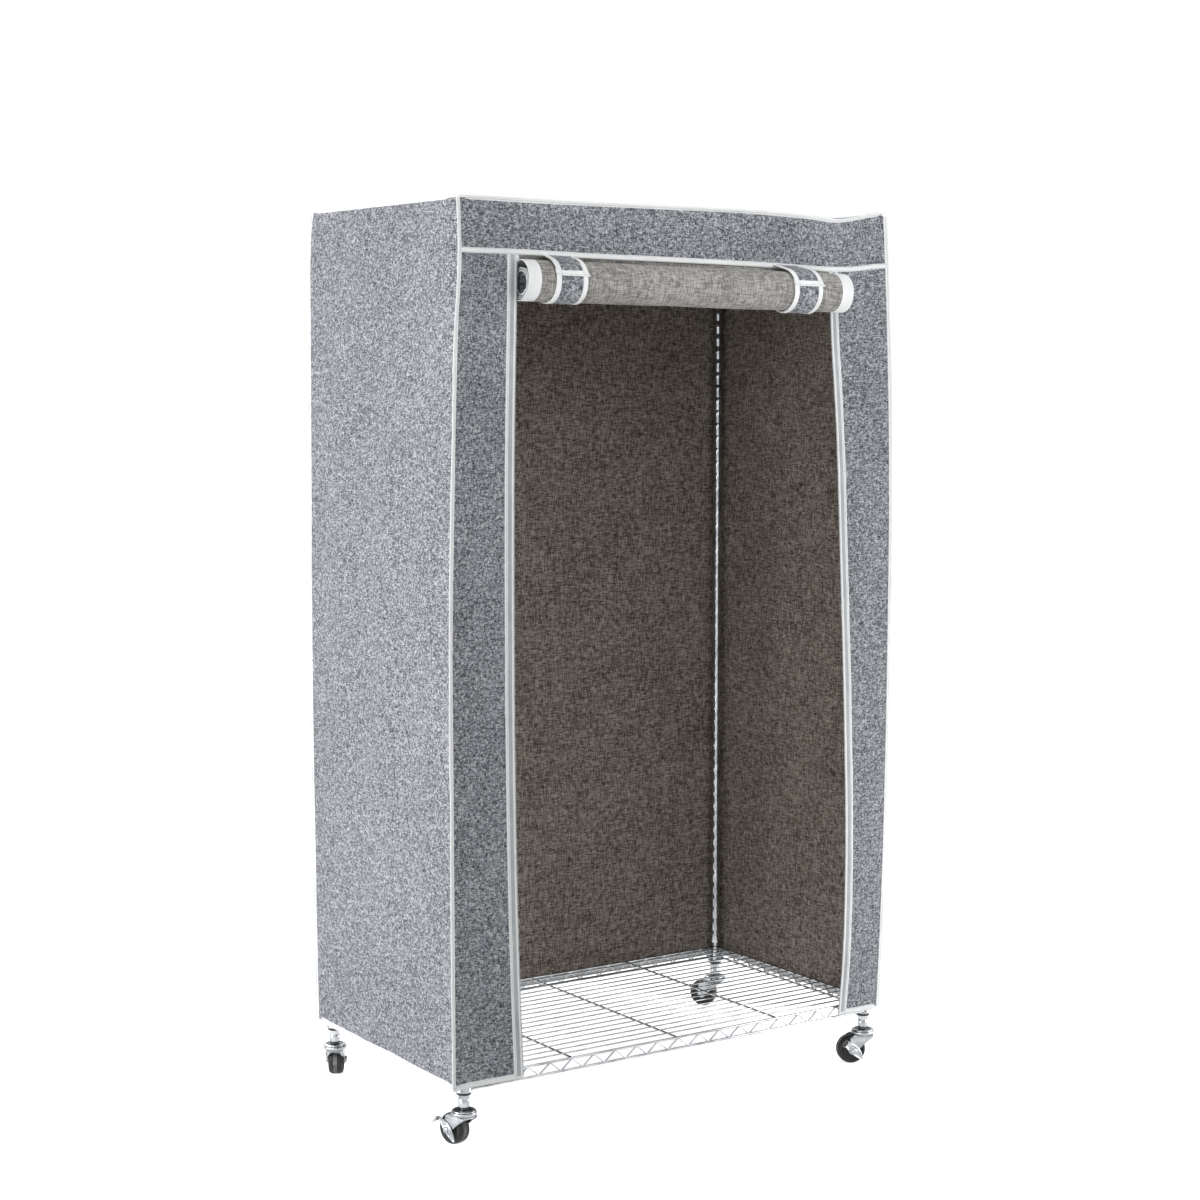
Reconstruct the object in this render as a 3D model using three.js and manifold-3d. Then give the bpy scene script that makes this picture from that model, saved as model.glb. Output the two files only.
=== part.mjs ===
// A portable fabric wardrobe: a chrome post-and-wire-shelf rack on four casters under a cloth
// cover whose front door is rolled up under the valance and held by two straps.
// Millimetres, Z up, floor at zero, front towards -Y, left towards -X.

import * as THREE from 'three';
import { mergeVertices } from 'three/addons/utils/BufferGeometryUtils.js';
import Module from 'manifold-3d';

const wasm = await Module();
wasm.setup();

// general
const clearance = 0.3;
const overrun = 2;

// cover
const coverWidth = 914;
const coverDepth = 506;
const coverTop = 1592;
const hemBottom = 105;
const clothThickness = 1.2;
const clothSeamGap = 0.8;
const coverSlack = 18;
const cornerRounding = 14;
const coverTopSag = 8;
const wallFoldDepth = 5;

// edge bindings of the cover
const hemHeight = 9;
const bindingThickness = 1.6;
const bindingStandoff = 0.7;
const topBindingLeg = 6.5;
const cornerBindingLeg = 3.5;

// valance and its seam over the door
const valanceHeight = 87;
const seamBandHeight = 8.5;
const seamBandThickness = 2.4;
const seamDip = 14;
const topEdgeDip = 13;

// door opening and its zip tapes
const frontStripWidth = 112;
const openingBow = 32;
const tapeWidth = 18;
const tapeThickness = 1.6;

// zip sliders
const sliderWidth = 8;
const sliderHeight = 13;
const sliderDepth = 6;
const sliderGrip = 4.5;
const pullerLength = 24;
const pullerWidth = 5;
const pullerThickness = 1.2;

// rolled door: its two end centres, and the cloth wound in it
const rollRadius = 35;
const rollBore = 12.5;
const rollPitch = 1.35;
const rollCloth = 0.8;
const rollLooseFrom = 0.75;
const rollLooseTo = 1.6;
const rollLooseness = 8;
const rollDrop = 4.5;
const rollSideGap = 4.6;
const rollLeftForward = 5;
const rollRightForward = 37;
const rollLeftBelowSeam = 47;
const rollRightBelowSeam = 59.5;

// straps
const strapWidth = 60;
const strapThickness = 1.6;
const strapFromLeftEdge = 87;
const strapFromRightEdge = 121;
const tabForward = 2;
const wrapBehind = 4.5;
const layerGap = 0.4;
const wrapGap = 0.9;

// rack posts
const postDiameter = 19;
const postWall = 1.2;
const postInset = 18;
const postInsertLength = 30;
const postCapHeight = 4;

// wire shelves
const lowerDeckTop = 124;
const upperDeckBelowTop = 17;
const railWire = 4.5;
const railOffset = 11;
const zigzagWire = 3;
const zigzagPitch = 44;
const trussHeight = 24;
const deckWire = 2.8;
const deckSpacing = 25;
const crossWire = 4;

// shelf collars and the split sleeves inside them
const sleeveHeight = 36;
const sleeveBelowCollar = 5;
const sleeveWallTop = 1.4;
const sleeveWallBottom = 2.8;
const collarHeight = 30;
const collarWall = 1.6;

// hanging rod
const rodDiameter = 22;
const rodWall = 1.2;
const rodBelowDeck = 112;
const rodPastBracket = 6;
const bracketThickness = 3;
const bracketWidth = 14;
const bracketRim = 5;
const hookDrop = 9;

// casters
const wheelDiameter = 54;
const wheelWidth = 26;
const treadFlat = 13;
const treadCrown = 3.5;
const casterTrail = 23.8;
const axleDiameter = 6.5;
const axleHeadDiameter = 11.9;
const axleHeadThickness = 2.8;
const forkSideGap = 1.3;
const forkSheet = 1.9;
const forkDiscDiameter = 44.3;
const forkDiscThickness = 5.4;
const forkAboveWheel = 1.7;
const forkBossRadius = 8.1;
const stemDiameter = 8;
const stemHeadRadius = 6.5;
const stemHeadThickness = 1.1;
const stemDiscDiameter = 41;
const stemDiscThickness = 2.8;
const stemLength = 26;
const leverLength = 49.6;
const leverWidth = 13;
const leverThickness = 1.9;
const leverPadLength = 9.7;

// counts
const postSides = 12;
const wheelSides = 20;
const smallSides = 10;
const arcSteps = 5;
const stepsPerTurn = 16;
const crossWireCount = 3;

// places up the walls, hem to top, as shares, and how far each corner leans out there
const wallShares = [0, 0.06, 0.18, 0.35, 0.52, 0.65, 0.78, 0.86, 0.94, 0.985, 1];
const leanShares = {
  frontLeft: [0.56, 0.56, 0.58, 0.6, 0.59, 0.34, 0.05, -0.2, -0.6, -0.5, -0.45],
  frontRight: [0.02, 0.28, 0.63, 0.9, 1, 0.97, 0.7, 0.42, 0.04, -0.2, -0.3],
  rearLeft: [0.2, 0.24, 0.3, 0.36, 0.36, 0.3, 0.24, 0.2, 0.16, 0, -0.15],
  rearRight: [0.1, 0.2, 0.32, 0.4, 0.4, 0.34, 0.26, 0.2, 0.14, 0, -0.2],
};

// places across the front, left to right, with the dip of the top edge and of the seam there
const frontShares = [0, 0.03, 0.14, 0.28, 0.42, 0.56, 0.7, 0.8, 0.88, 0.93, 0.97, 1];
const topDipShares = [0, 0, 0.12, 0.2, 0.22, 0.24, 0.38, 0.68, 1, 0.5, 0, 0];
const seamDipShares = [0, 0, 0, 0.04, 0.08, 0.16, 0.36, 0.68, 1, 0.8, 0.5, 0.42];

// places from the front edge of the cover to its rear edge, how much of the dip is left there on top,
// and the soft folds of the side walls there
const sideRoundShare = cornerRounding / coverDepth;
const sideShares = [0, sideRoundShare, 0.14, 0.3, 0.46, 0.62, 0.78, 1 - sideRoundShare, 1];
const dipLeftShares = [1, 0.6, 0, 0, 0, 0, 0, 0, 0];
const sideFoldShares = [0, 0, 0.5, -0.3, 0.7, -0.2, 0.6, 0, 0];

// places across the back wall, left to right, and its soft folds there
const backRoundShare = cornerRounding / coverWidth;
const backShares = [0, backRoundShare, 0.13, 0.26, 0.4, 0.53, 0.67, 0.8, 0.9, 1 - backRoundShare, 1];
const backFoldShares = [0, 0, 0.6, -0.3, 0.7, 0.1, 0.8, -0.2, 0.5, 0, 0];

// the two opening edges, hem to seam, out from the straight edge
const edgeShares = [0, 0.06, 0.2, 0.38, 0.58, 0.78, 0.94, 1];
const leftEdgeShares = [-0.41, -0.3, -0.1, 0.03, 0.06, 0, -0.15, -0.19];
const rightEdgeShares = [0.61, 0.84, 1, 0.82, 0.44, 0, -0.53, -0.6];

// finishes
const chrome = { color: 0xd9dbde, roughness: 0.18, metalness: 1 };
const zincSteel = { color: 0xb9bcc0, roughness: 0.35, metalness: 0.9 };
const blackPlastic = { color: 0x17181a, roughness: 0.5, metalness: 0 };
const blackRubber = { color: 0x1b1b1c, roughness: 0.7, metalness: 0 };
const greyCloth = { color: 0x8d8f95, roughness: 0.95, metalness: 0 };
const liningCloth = { color: 0x94918b, roughness: 0.9, metalness: 0 };
const whiteBinding = { color: 0xe6e7ea, roughness: 0.85, metalness: 0 };
const zipTape = { color: 0xd4d6d9, roughness: 0.8, metalness: 0 };
const paintedZinc = { color: 0xdcdde0, roughness: 0.4, metalness: 0.2 };

// worked out from the sizes above
const halfWidth = coverWidth / 2;
const halfDepth = coverDepth / 2;
const openingHalfWidth = halfWidth - frontStripWidth;
const leftStrapPlace = strapFromLeftEdge - openingHalfWidth;
const rightStrapPlace = openingHalfWidth - strapFromRightEdge;
const upperDeckTop = coverTop - upperDeckBelowTop;
const wallMiddle = clothThickness / 2;
const wallBottom = hemBottom + hemHeight + clearance;
const wallTop = coverTop - clothThickness - clearance;
const seamHeight = coverTop - valanceHeight;
const seamBelow = seamBandHeight / 2 + clearance;
const postX = halfWidth - postInset;
const postY = halfDepth - postInset;
const postRadius = postDiameter / 2;
const wheelRadius = wheelDiameter / 2;
const axleRadius = axleDiameter / 2;
const forkDiscBottom = wheelDiameter + forkAboveWheel;
const forkDiscTop = forkDiscBottom + forkDiscThickness;
const stemDiscBottom = forkDiscTop + clearance;
const stemDiscTop = stemDiscBottom + stemDiscThickness;
const postBottom = stemDiscTop + clearance;
const postTop = coverTop - clothThickness - clearance;
const legMiddle = wheelWidth / 2 + forkSideGap + forkSheet / 2;
const legOuter = legMiddle + forkSheet / 2;

// linear reading of a table of shares
function read(places, values, share) {
  const last = places.length - 1;
  let i = 1;
  while (i < last && places[i] < share) i += 1;
  const step = (share - places[i - 1]) / (places[i] - places[i - 1]);
  return values[i - 1] + (values[i] - values[i - 1]) * THREE.MathUtils.clamp(step, 0, 1);
}

// one closed body with merged corners and its faces pointing out
function tidyGeometry(source) {
  const bare = source.clone();
  bare.deleteAttribute('normal');
  bare.deleteAttribute('uv');
  const merged = mergeVertices(bare);
  const index = [];
  const place = merged.attributes.position;
  const corners = [new THREE.Vector3(), new THREE.Vector3(), new THREE.Vector3()];
  let volume = 0;
  for (let i = 0; i < merged.index.count; i += 3) {
    const face = [0, 1, 2].map((k) => merged.index.getX(i + k));
    if (face[0] === face[1] || face[1] === face[2] || face[2] === face[0]) continue;
    face.forEach((vertex, k) => corners[k].fromBufferAttribute(place, vertex));
    volume += corners[0].dot(corners[1].cross(corners[2]));
    index.push(...face);
  }
  if (volume < 0) index.reverse();
  merged.setIndex(index);
  merged.computeVertexNormals();
  return merged;
}

function toSolid(geometry) {
  const tidy = tidyGeometry(geometry);
  return new wasm.Manifold(new wasm.Mesh({
    numProp: 3,
    vertProperties: new Float32Array(tidy.attributes.position.array),
    triVerts: new Uint32Array(tidy.index.array),
  }));
}

function toGeometry(solid) {
  const mesh = solid.getMesh();
  const geometry = new THREE.BufferGeometry();
  geometry.setAttribute('position', new THREE.BufferAttribute(mesh.vertProperties, mesh.numProp));
  geometry.setIndex(new THREE.BufferAttribute(mesh.triVerts, 1));
  return geometry;
}

// joins the first list into one solid and cuts the second list from it
function welded(geometries, cuts = []) {
  let solid = wasm.Manifold.union(geometries.map(toSolid));
  if (cuts.length > 0) solid = solid.subtract(wasm.Manifold.union(cuts.map(toSolid)));
  return toGeometry(solid);
}

// a skin through rings of points; ring point i faces ring point (last - i), so a thin ring closes flat
function loft(rings, endless = false) {
  const size = rings[0].length;
  const index = [];
  const quad = (a, b, c, d) => index.push(a, b, c, a, c, d);
  const spans = endless ? rings.length : rings.length - 1;
  for (let r = 0; r < spans; r += 1) {
    const here = r * size;
    const next = ((r + 1) % rings.length) * size;
    for (let i = 0; i < size; i += 1) {
      const j = (i + 1) % size;
      quad(here + i, here + j, next + j, next + i);
    }
  }
  if (!endless) {
    const end = (rings.length - 1) * size;
    for (let i = 0; i < size / 2 - 1; i += 1) {
      const far = size - 1 - i;
      quad(i, far, far - 1, i + 1);
      quad(end + i, end + i + 1, end + far - 1, end + far);
    }
  }
  const geometry = new THREE.BufferGeometry();
  const places = rings.flat().flatMap((point) => point.toArray());
  geometry.setAttribute('position', new THREE.Float32BufferAttribute(places, 3));
  geometry.setIndex(index);
  return geometry;
}

// a sheet of cloth with thickness; place(u, v) gives its middle surface, facing out along its normal
function clothPanel(columns, rows, place, thickness = clothThickness) {
  const nudge = 0.001;
  const normalAt = (u, v) => {
    const across = place(u + nudge, v).sub(place(u - nudge, v));
    const along = place(u, v + nudge).sub(place(u, v - nudge));
    return across.cross(along).normalize();
  };
  const rings = rows.map((v) => {
    const outer = columns.map((u) => place(u, v).addScaledVector(normalAt(u, v), thickness / 2));
    const inner = columns.map((u) => place(u, v).addScaledVector(normalAt(u, v), -thickness / 2));
    return [...outer, ...inner.reverse()];
  });
  return loft(rings);
}

function evenShares(count) {
  return Array.from({ length: count + 1 }, (unused, i) => i / count);
}

// profile of [radius, height] pairs turned about the Z axis
function turned(profile, sides) {
  const points = profile.map(([radius, height]) => new THREE.Vector2(radius, height));
  return new THREE.LatheGeometry(points, sides).rotateX(Math.PI / 2);
}

// profile of [radius, place along Y] pairs turned about the Y axis, with a flat facet at the bottom
function wheelTurned(profile, sides) {
  const points = profile.map(([radius, along]) => new THREE.Vector2(radius / Math.cos(Math.PI / sides), along));
  return new THREE.LatheGeometry(points, sides).rotateY(Math.PI / sides);
}

// a plate drawn in X and Z, with its thickness along Y about the given middle
function uprightPlate(shape, thickness, middleY) {
  const plate = new THREE.ExtrudeGeometry(shape, {
    depth: thickness, bevelEnabled: false, curveSegments: arcSteps,
  });
  return plate.rotateX(Math.PI / 2).translate(0, middleY + thickness / 2, 0);
}

function wireBetween(from, to, size) {
  const run = to.clone().sub(from);
  const wire = new THREE.BoxGeometry(size, size, run.length());
  const turn = new THREE.Quaternion().setFromUnitVectors(new THREE.Vector3(0, 0, 1), run.normalize());
  wire.applyQuaternion(turn);
  return wire.translate((from.x + to.x) / 2, (from.y + to.y) / 2, (from.z + to.z) / 2);
}

const wardrobe = new THREE.Group();

function addPiece(name, geometry, finish, group = wardrobe) {
  const mesh = new THREE.Mesh(tidyGeometry(geometry), new THREE.MeshStandardMaterial(finish));
  mesh.name = name;
  group.add(mesh);
  return mesh;
}

const corners = [
  { name: 'front_left', key: 'frontLeft', side: -1, end: -1 },
  { name: 'front_right', key: 'frontRight', side: 1, end: -1 },
  { name: 'rear_left', key: 'rearLeft', side: -1, end: 1 },
  { name: 'rear_right', key: 'rearRight', side: 1, end: 1 },
];

// posts: tubes with a stem insert in the foot and a closed cap on top

function post() {
  const bore = postRadius - postWall;
  const stemBore = stemDiameter / 2 + clearance;
  return turned([
    [stemBore, postBottom], [postRadius, postBottom],
    [postRadius, postTop - postCapHeight], [bore, postTop], [0, postTop],
    [0, postTop - postCapHeight], [bore, postTop - postCapHeight],
    [bore, postBottom + postInsertLength], [stemBore, postBottom + postInsertLength],
    [stemBore, postBottom],
  ], postSides);
}

// shelf sleeves and collars taper together, wider at the bottom

const sleeveBore = postRadius + clearance;

function sleeveRadius(aboveFoot) {
  const share = aboveFoot / sleeveHeight;
  return sleeveBore + sleeveWallBottom + (sleeveWallTop - sleeveWallBottom) * share;
}

function sleeve(foot) {
  return turned([
    [sleeveBore, foot], [sleeveRadius(0), foot],
    [sleeveRadius(sleeveHeight), foot + sleeveHeight], [sleeveBore, foot + sleeveHeight],
    [sleeveBore, foot],
  ], postSides);
}

function collarBottom(deckTop) {
  return deckTop - deckWire / 2 - trussHeight - (collarHeight - trussHeight) / 2;
}

function sleeveFoot(deckTop) {
  return collarBottom(deckTop) - sleeveBelowCollar;
}

// the outside of a collar (a plain taper) and the bore that is cut from it and from the wires

function collarTaper(deckTop, extra, past) {
  const bottom = collarBottom(deckTop) - past;
  const top = collarBottom(deckTop) + collarHeight + past;
  const radiusAt = (z) => (sleeveRadius(z - sleeveFoot(deckTop)) + clearance) / Math.cos(Math.PI / postSides);
  return turned([
    [0, bottom], [radiusAt(bottom) + extra, bottom], [radiusAt(top) + extra, top], [0, top],
  ], postSides);
}

// a truss side along X: two rails with a zigzag wire between them, a foot up from the lower rail at each even point

function zigzagCount(length) {
  return 4 * Math.max(1, Math.round(length / (2 * zigzagPitch))) - 2;
}

function truss(length, zigzags) {
  const count = zigzagCount(length);
  const step = length / count;
  const low = railWire / 2;
  const high = trussHeight - railWire / 2;
  const rise = zigzagWire / 2 / Math.cos(Math.atan2(high - low, step));
  const chain = (out) => evenShares(count).map((share, i) => (
    new THREE.Vector2((share - 0.5) * length, (i % 2 === 0 ? low + zigzagWire / 2 : high - zigzagWire / 2) + out)
  ));
  const zigzag = new THREE.Shape([...chain(-rise), ...chain(rise).reverse()]);
  const rails = [low, high].map((z) => wireBetween(
    new THREE.Vector3(-length / 2, 0, z), new THREE.Vector3(length / 2, 0, z), railWire,
  ));
  return zigzags ? [...rails, uprightPlate(zigzag, zigzagWire, 0)] : rails;
}

// the upper shelf, out of sight under the cover, has its two rails without the zigzag between them
function shelf(deckTop, zigzags) {
  const trussBottom = deckTop - deckWire / 2 - trussHeight;
  const railX = postX + railOffset;
  const railY = postY + railOffset;
  const collarMouth = Math.sqrt(Math.max((sleeveRadius(0) + collarWall) ** 2 - railOffset ** 2, 0));
  const parts = [];
  const endLength = 2 * (postX - collarMouth + collarWall);
  const sideLength = 2 * (postY - collarMouth + collarWall);
  for (const way of [-1, 1]) {
    truss(endLength, zigzags).forEach((wire) => parts.push(wire.translate(0, way * railY, trussBottom)));
    truss(sideLength, zigzags).forEach((wire) => {
      parts.push(wire.rotateZ(Math.PI / 2).translate(way * railX, 0, trussBottom));
    });
  }
  const gaps = Math.round(2 * railY / deckSpacing);
  const deckZ = deckTop - deckWire / 2;
  for (let i = 1; i < gaps; i += 1) {
    const y = railY * (2 * i / gaps - 1);
    parts.push(wireBetween(new THREE.Vector3(-railX, y, deckZ), new THREE.Vector3(railX, y, deckZ), deckWire));
  }
  const crossZ = deckTop - deckWire - clearance - crossWire / 2;
  for (let i = 1; i <= crossWireCount; i += 1) {
    const x = railX * (2 * i / (crossWireCount + 1) - 1);
    parts.push(wireBetween(new THREE.Vector3(x, -railY, crossZ), new THREE.Vector3(x, railY, crossZ), crossWire));
  }
  const cuts = [];
  for (const { side, end } of corners) {
    parts.push(collarTaper(deckTop, collarWall, 0).translate(side * postX, end * postY, 0));
    cuts.push(collarTaper(deckTop, 0, overrun).translate(side * postX, end * postY, 0));
  }
  return welded(parts, cuts);
}

// hanging rod under the upper shelf, in two hooks over the lower rails of its side trusses

const rodHeight = upperDeckTop - rodBelowDeck;
const upperTrussBottom = upperDeckTop - deckWire / 2 - trussHeight;
const bracketInner = postX + railOffset - railWire / 2 - clearance - bracketThickness;

function hangingRod() {
  const half = bracketInner + bracketThickness + rodPastBracket - railWire;
  const radius = rodDiameter / 2;
  return turned([
    [radius - rodWall, -half], [radius, -half], [radius, half], [radius - rodWall, half], [radius - rodWall, -half],
  ], postSides).rotateY(Math.PI / 2).translate(0, 0, rodHeight);
}

function rodBracket(side) {
  const hookUnder = upperTrussBottom + railWire + clearance;
  const hookTop = hookUnder + bracketThickness;
  const hookOuter = postX + railOffset + railWire / 2 + clearance;
  const bore = (rodDiameter / 2 + clearance) / Math.cos(Math.PI / postSides);
  const eye = bore + bracketRim;
  const strip = new THREE.Shape([
    new THREE.Vector2(bracketInner, rodHeight),
    new THREE.Vector2(bracketInner + bracketThickness, rodHeight),
    new THREE.Vector2(bracketInner + bracketThickness, hookUnder),
    new THREE.Vector2(hookOuter, hookUnder),
    new THREE.Vector2(hookOuter, hookUnder - hookDrop),
    new THREE.Vector2(hookOuter + bracketThickness, hookUnder - hookDrop),
    new THREE.Vector2(hookOuter + bracketThickness, hookTop),
    new THREE.Vector2(bracketInner, hookTop),
  ]);
  const disc = new THREE.CylinderGeometry(eye, eye, bracketThickness, postSides).rotateZ(Math.PI / 2);
  disc.translate(bracketInner + bracketThickness / 2, 0, rodHeight);
  const hole = new THREE.CylinderGeometry(bore, bore, bracketThickness + overrun, postSides).rotateZ(Math.PI / 2);
  hole.translate(bracketInner + bracketThickness / 2, 0, rodHeight);
  const bracket = welded([uprightPlate(strip, bracketWidth, 0), disc], [hole]);
  return side > 0 ? bracket : bracket.rotateZ(Math.PI);
}

// casters, each drawn on its swivel axis with the wheel trailing along +X

function casterStem() {
  const radius = stemDiameter / 2;
  const headTop = forkDiscBottom - clearance;
  return turned([
    [0, headTop - stemHeadThickness], [stemHeadRadius, headTop - stemHeadThickness],
    [stemHeadRadius, headTop], [radius, headTop],
    [radius, stemDiscBottom], [stemDiscDiameter / 2, stemDiscBottom],
    [stemDiscDiameter / 2, stemDiscTop], [radius, stemDiscTop],
    [radius, stemDiscTop + stemLength], [0, stemDiscTop + stemLength],
  ], postSides);
}

function casterFork() {
  const discRadius = forkDiscDiameter / 2;
  const legReach = Math.sqrt(discRadius ** 2 - legOuter ** 2);
  const leg = new THREE.Shape();
  leg.moveTo(-legReach, forkDiscTop - clearance);
  leg.lineTo(-legReach, forkDiscBottom - forkSheet);
  leg.lineTo(casterTrail - forkBossRadius, wheelRadius);
  leg.absarc(casterTrail, wheelRadius, forkBossRadius, Math.PI, 2 * Math.PI, false);
  leg.lineTo(casterTrail + forkBossRadius, wheelRadius);
  leg.lineTo(legReach + forkSheet, forkDiscBottom);
  leg.lineTo(legReach, forkDiscTop - clearance);
  const axleHole = new THREE.CylinderGeometry(
    axleRadius + clearance, axleRadius + clearance, 2 * (legOuter + overrun), smallSides,
  ).translate(casterTrail, 0, wheelRadius);
  const disc = turned([
    [0, forkDiscBottom], [discRadius, forkDiscBottom], [discRadius, forkDiscTop], [0, forkDiscTop],
  ], postSides);
  const stemHole = turned([
    [0, forkDiscBottom - overrun], [stemDiameter / 2 + clearance, forkDiscBottom - overrun],
    [stemDiameter / 2 + clearance, forkDiscTop + overrun], [0, forkDiscTop + overrun],
  ], postSides);
  return welded(
    [disc, uprightPlate(leg, forkSheet, -legMiddle), uprightPlate(leg, forkSheet, legMiddle)],
    [axleHole, stemHole],
  );
}

function casterWheel() {
  const bore = axleRadius + clearance;
  const half = wheelWidth / 2;
  return wheelTurned([
    [bore, -half], [wheelRadius - treadCrown, -half], [wheelRadius, -treadFlat / 2],
    [wheelRadius, treadFlat / 2], [wheelRadius - treadCrown, half], [bore, half], [bore, -half],
  ], wheelSides).translate(casterTrail, 0, wheelRadius);
}

// the axle bolt is longer on the side that also carries a brake lever

function casterAxle(braked) {
  const near = legOuter + clearance;
  const far = near + (braked ? leverThickness + clearance : 0);
  const head = axleHeadDiameter / 2;
  const profile = [
    [0, -near - axleHeadThickness], [head, -near - axleHeadThickness], [head, -near], [axleRadius, -near],
    [axleRadius, far], [head, far], [head, far + axleHeadThickness], [0, far + axleHeadThickness],
  ].map(([radius, along]) => new THREE.Vector2(radius, along));
  return new THREE.LatheGeometry(profile, smallSides).translate(casterTrail, 0, wheelRadius);
}

// a side brake lever on the axle, sloping down towards the swivel, with a foot pad bent out at its high end

const leverSlope = -0.75;

function brakeLever() {
  const half = leverLength / 2;
  const round = leverWidth / 2;
  const plate = new THREE.Shape();
  plate.moveTo(round - half, -round);
  plate.lineTo(half - round, -round);
  plate.absarc(half - round, 0, round, -Math.PI / 2, Math.PI / 2, false);
  plate.lineTo(round - half, round);
  plate.absarc(round - half, 0, round, Math.PI / 2, 1.5 * Math.PI, false);
  const middleY = legOuter + clearance + leverThickness / 2;
  const pad = new THREE.BoxGeometry(leverThickness, leverPadLength, leverWidth);
  pad.translate(-half + leverThickness, middleY + leverPadLength / 2, 0);
  const hole = new THREE.CylinderGeometry(
    axleRadius + clearance, axleRadius + clearance, leverThickness + overrun, smallSides,
  ).translate(0, middleY, 0);
  const lever = welded([uprightPlate(plate, leverThickness, middleY), pad], [hole]);
  return lever.rotateY(Math.PI + leverSlope).translate(casterTrail, 0, wheelRadius);
}

// heading of each caster: the angle of its trailing direction about the swivel axis
const casterHeadings = { front_left: 1.77, front_right: 2.76, rear_left: 0.985, rear_right: 2.2 };

function addCaster({ name, side, end }) {
  const caster = new THREE.Group();
  caster.position.set(side * postX, end * postY, 0);
  caster.rotation.z = casterHeadings[name];
  const braked = end < 0;
  addPiece(`caster_stem_${name}`, casterStem(), blackPlastic, caster);
  addPiece(`caster_fork_${name}`, casterFork(), zincSteel, caster);
  addPiece(`caster_wheel_${name}`, casterWheel(), blackRubber, caster);
  addPiece(`caster_axle_${name}`, casterAxle(braked), zincSteel, caster);
  if (braked) addPiece(`brake_lever_${name}`, brakeLever(), zincSteel, caster);
  wardrobe.add(caster);
}

// cover: where its corners, edges and seams run

function wallShare(z) {
  return (z - wallBottom) / (wallTop - wallBottom);
}

function lean(key, z) {
  return coverSlack * read(wallShares, leanShares[key], THREE.MathUtils.clamp(wallShare(z), 0, 1));
}

// the front corners lean sideways only, and the rear ones lean back as well
function cornerX({ key, side }, z) {
  return side * (halfWidth + lean(key, z));
}

function cornerY({ key, end }, z) {
  return end * (halfDepth + (end > 0 ? lean(key, z) : 0));
}

const [frontLeft, frontRight, rearLeft, rearRight] = corners;

// stations across the front keep their places, and only the two ends follow the corners
function stationX(share, leftEnd, rightEnd) {
  if (share === 0) return leftEnd;
  return share === 1 ? rightEnd : coverWidth * share - halfWidth;
}

function frontShare(x) {
  return THREE.MathUtils.clamp((x + halfWidth) / coverWidth, 0, 1);
}

function topDip(share) {
  return topEdgeDip * read(frontShares, topDipShares, share);
}

function seamAt(share) {
  return seamHeight - seamDip * read(frontShares, seamDipShares, share);
}

function seamZ(x) {
  return seamAt(frontShare(x));
}

function openingEdge(side, z) {
  const share = THREE.MathUtils.clamp((z - wallBottom) / (seamHeight - wallBottom), 0, 1);
  const bowShares = side < 0 ? leftEdgeShares : rightEdgeShares;
  return side * (openingHalfWidth + openingBow * read(edgeShares, bowShares, share));
}

function topSurfaceZ(u, v) {
  const sag = coverTopSag * Math.sin(Math.PI * u) * Math.sin(Math.PI * v);
  return coverTop - Math.max(sag, 0) * 4 * v * (1 - v) - topDip(u) * read(sideShares, dipLeftShares, v);
}

// how far a wall stands out at a share of its run: an edge that is pulled in rounds off beside the corner
function wallLean(fromKey, toKey, share, length, z) {
  const rounding = THREE.MathUtils.clamp(Math.min(share, 1 - share) * length / cornerRounding, 0, 1);
  const leanOf = (key) => THREE.MathUtils.lerp(lean(key, z), Math.max(lean(key, z), 0), rounding);
  return THREE.MathUtils.lerp(leanOf(fromKey), leanOf(toKey), share);
}

// outer faces of the side walls and of the back wall
function sideX(side, v, z) {
  const [from, to] = side < 0 ? [frontLeft, rearLeft] : [frontRight, rearRight];
  return side * (halfWidth + wallLean(from.key, to.key, v, coverDepth, z));
}

function backY(u, z) {
  return halfDepth + wallLean(rearLeft.key, rearRight.key, u, coverWidth, z);
}

function sideY(side, v, z) {
  const rear = side < 0 ? rearLeft : rearRight;
  return THREE.MathUtils.lerp(-halfDepth, cornerY(rear, z), v);
}

function backX(u, z) {
  return THREE.MathUtils.lerp(cornerX(rearLeft, z), cornerX(rearRight, z), u);
}

function foldDepth(places, folds, share, v) {
  return wallFoldDepth * read(places, folds, share) * Math.sin(Math.PI * v);
}

// each side wall is laid out from the middle of the cover's front, so the two are mirror images
function sideWall(side) {
  const fromFront = (u) => (side < 0 ? u : 1 - u);
  const columns = sideShares.map(fromFront).sort((a, b) => a - b);
  return clothPanel(columns, wallShares, (u, v) => {
    const z = THREE.MathUtils.lerp(wallBottom, wallTop, v);
    const depthShare = fromFront(u);
    const out = foldDepth(sideShares, sideFoldShares, depthShare, v) - wallMiddle;
    return new THREE.Vector3(sideX(side, depthShare, z) + side * out, sideY(side, depthShare, z), z);
  });
}

// the back wall hangs between the side walls
function backWall() {
  const inset = (clothThickness + clothSeamGap) / coverWidth;
  return clothPanel(backShares, wallShares, (u, v) => {
    const z = THREE.MathUtils.lerp(wallBottom, wallTop, v);
    const share = inset + u * (1 - 2 * inset);
    const out = foldDepth(backShares, backFoldShares, u, v) - wallMiddle;
    return new THREE.Vector3(backX(share, z), backY(u, z) + out, z);
  });
}

function topPanel() {
  return clothPanel(frontShares, sideShares, (u, v) => {
    const x = stationX(u, sideX(-1, v, coverTop), sideX(1, v, coverTop));
    const y = THREE.MathUtils.lerp(-halfDepth, backY(u, coverTop), v);
    return new THREE.Vector3(x, y, topSurfaceZ(u, v) - wallMiddle);
  });
}

const frontWallY = -(halfDepth - wallMiddle);
const sideRoom = clothThickness + clothSeamGap;

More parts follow.
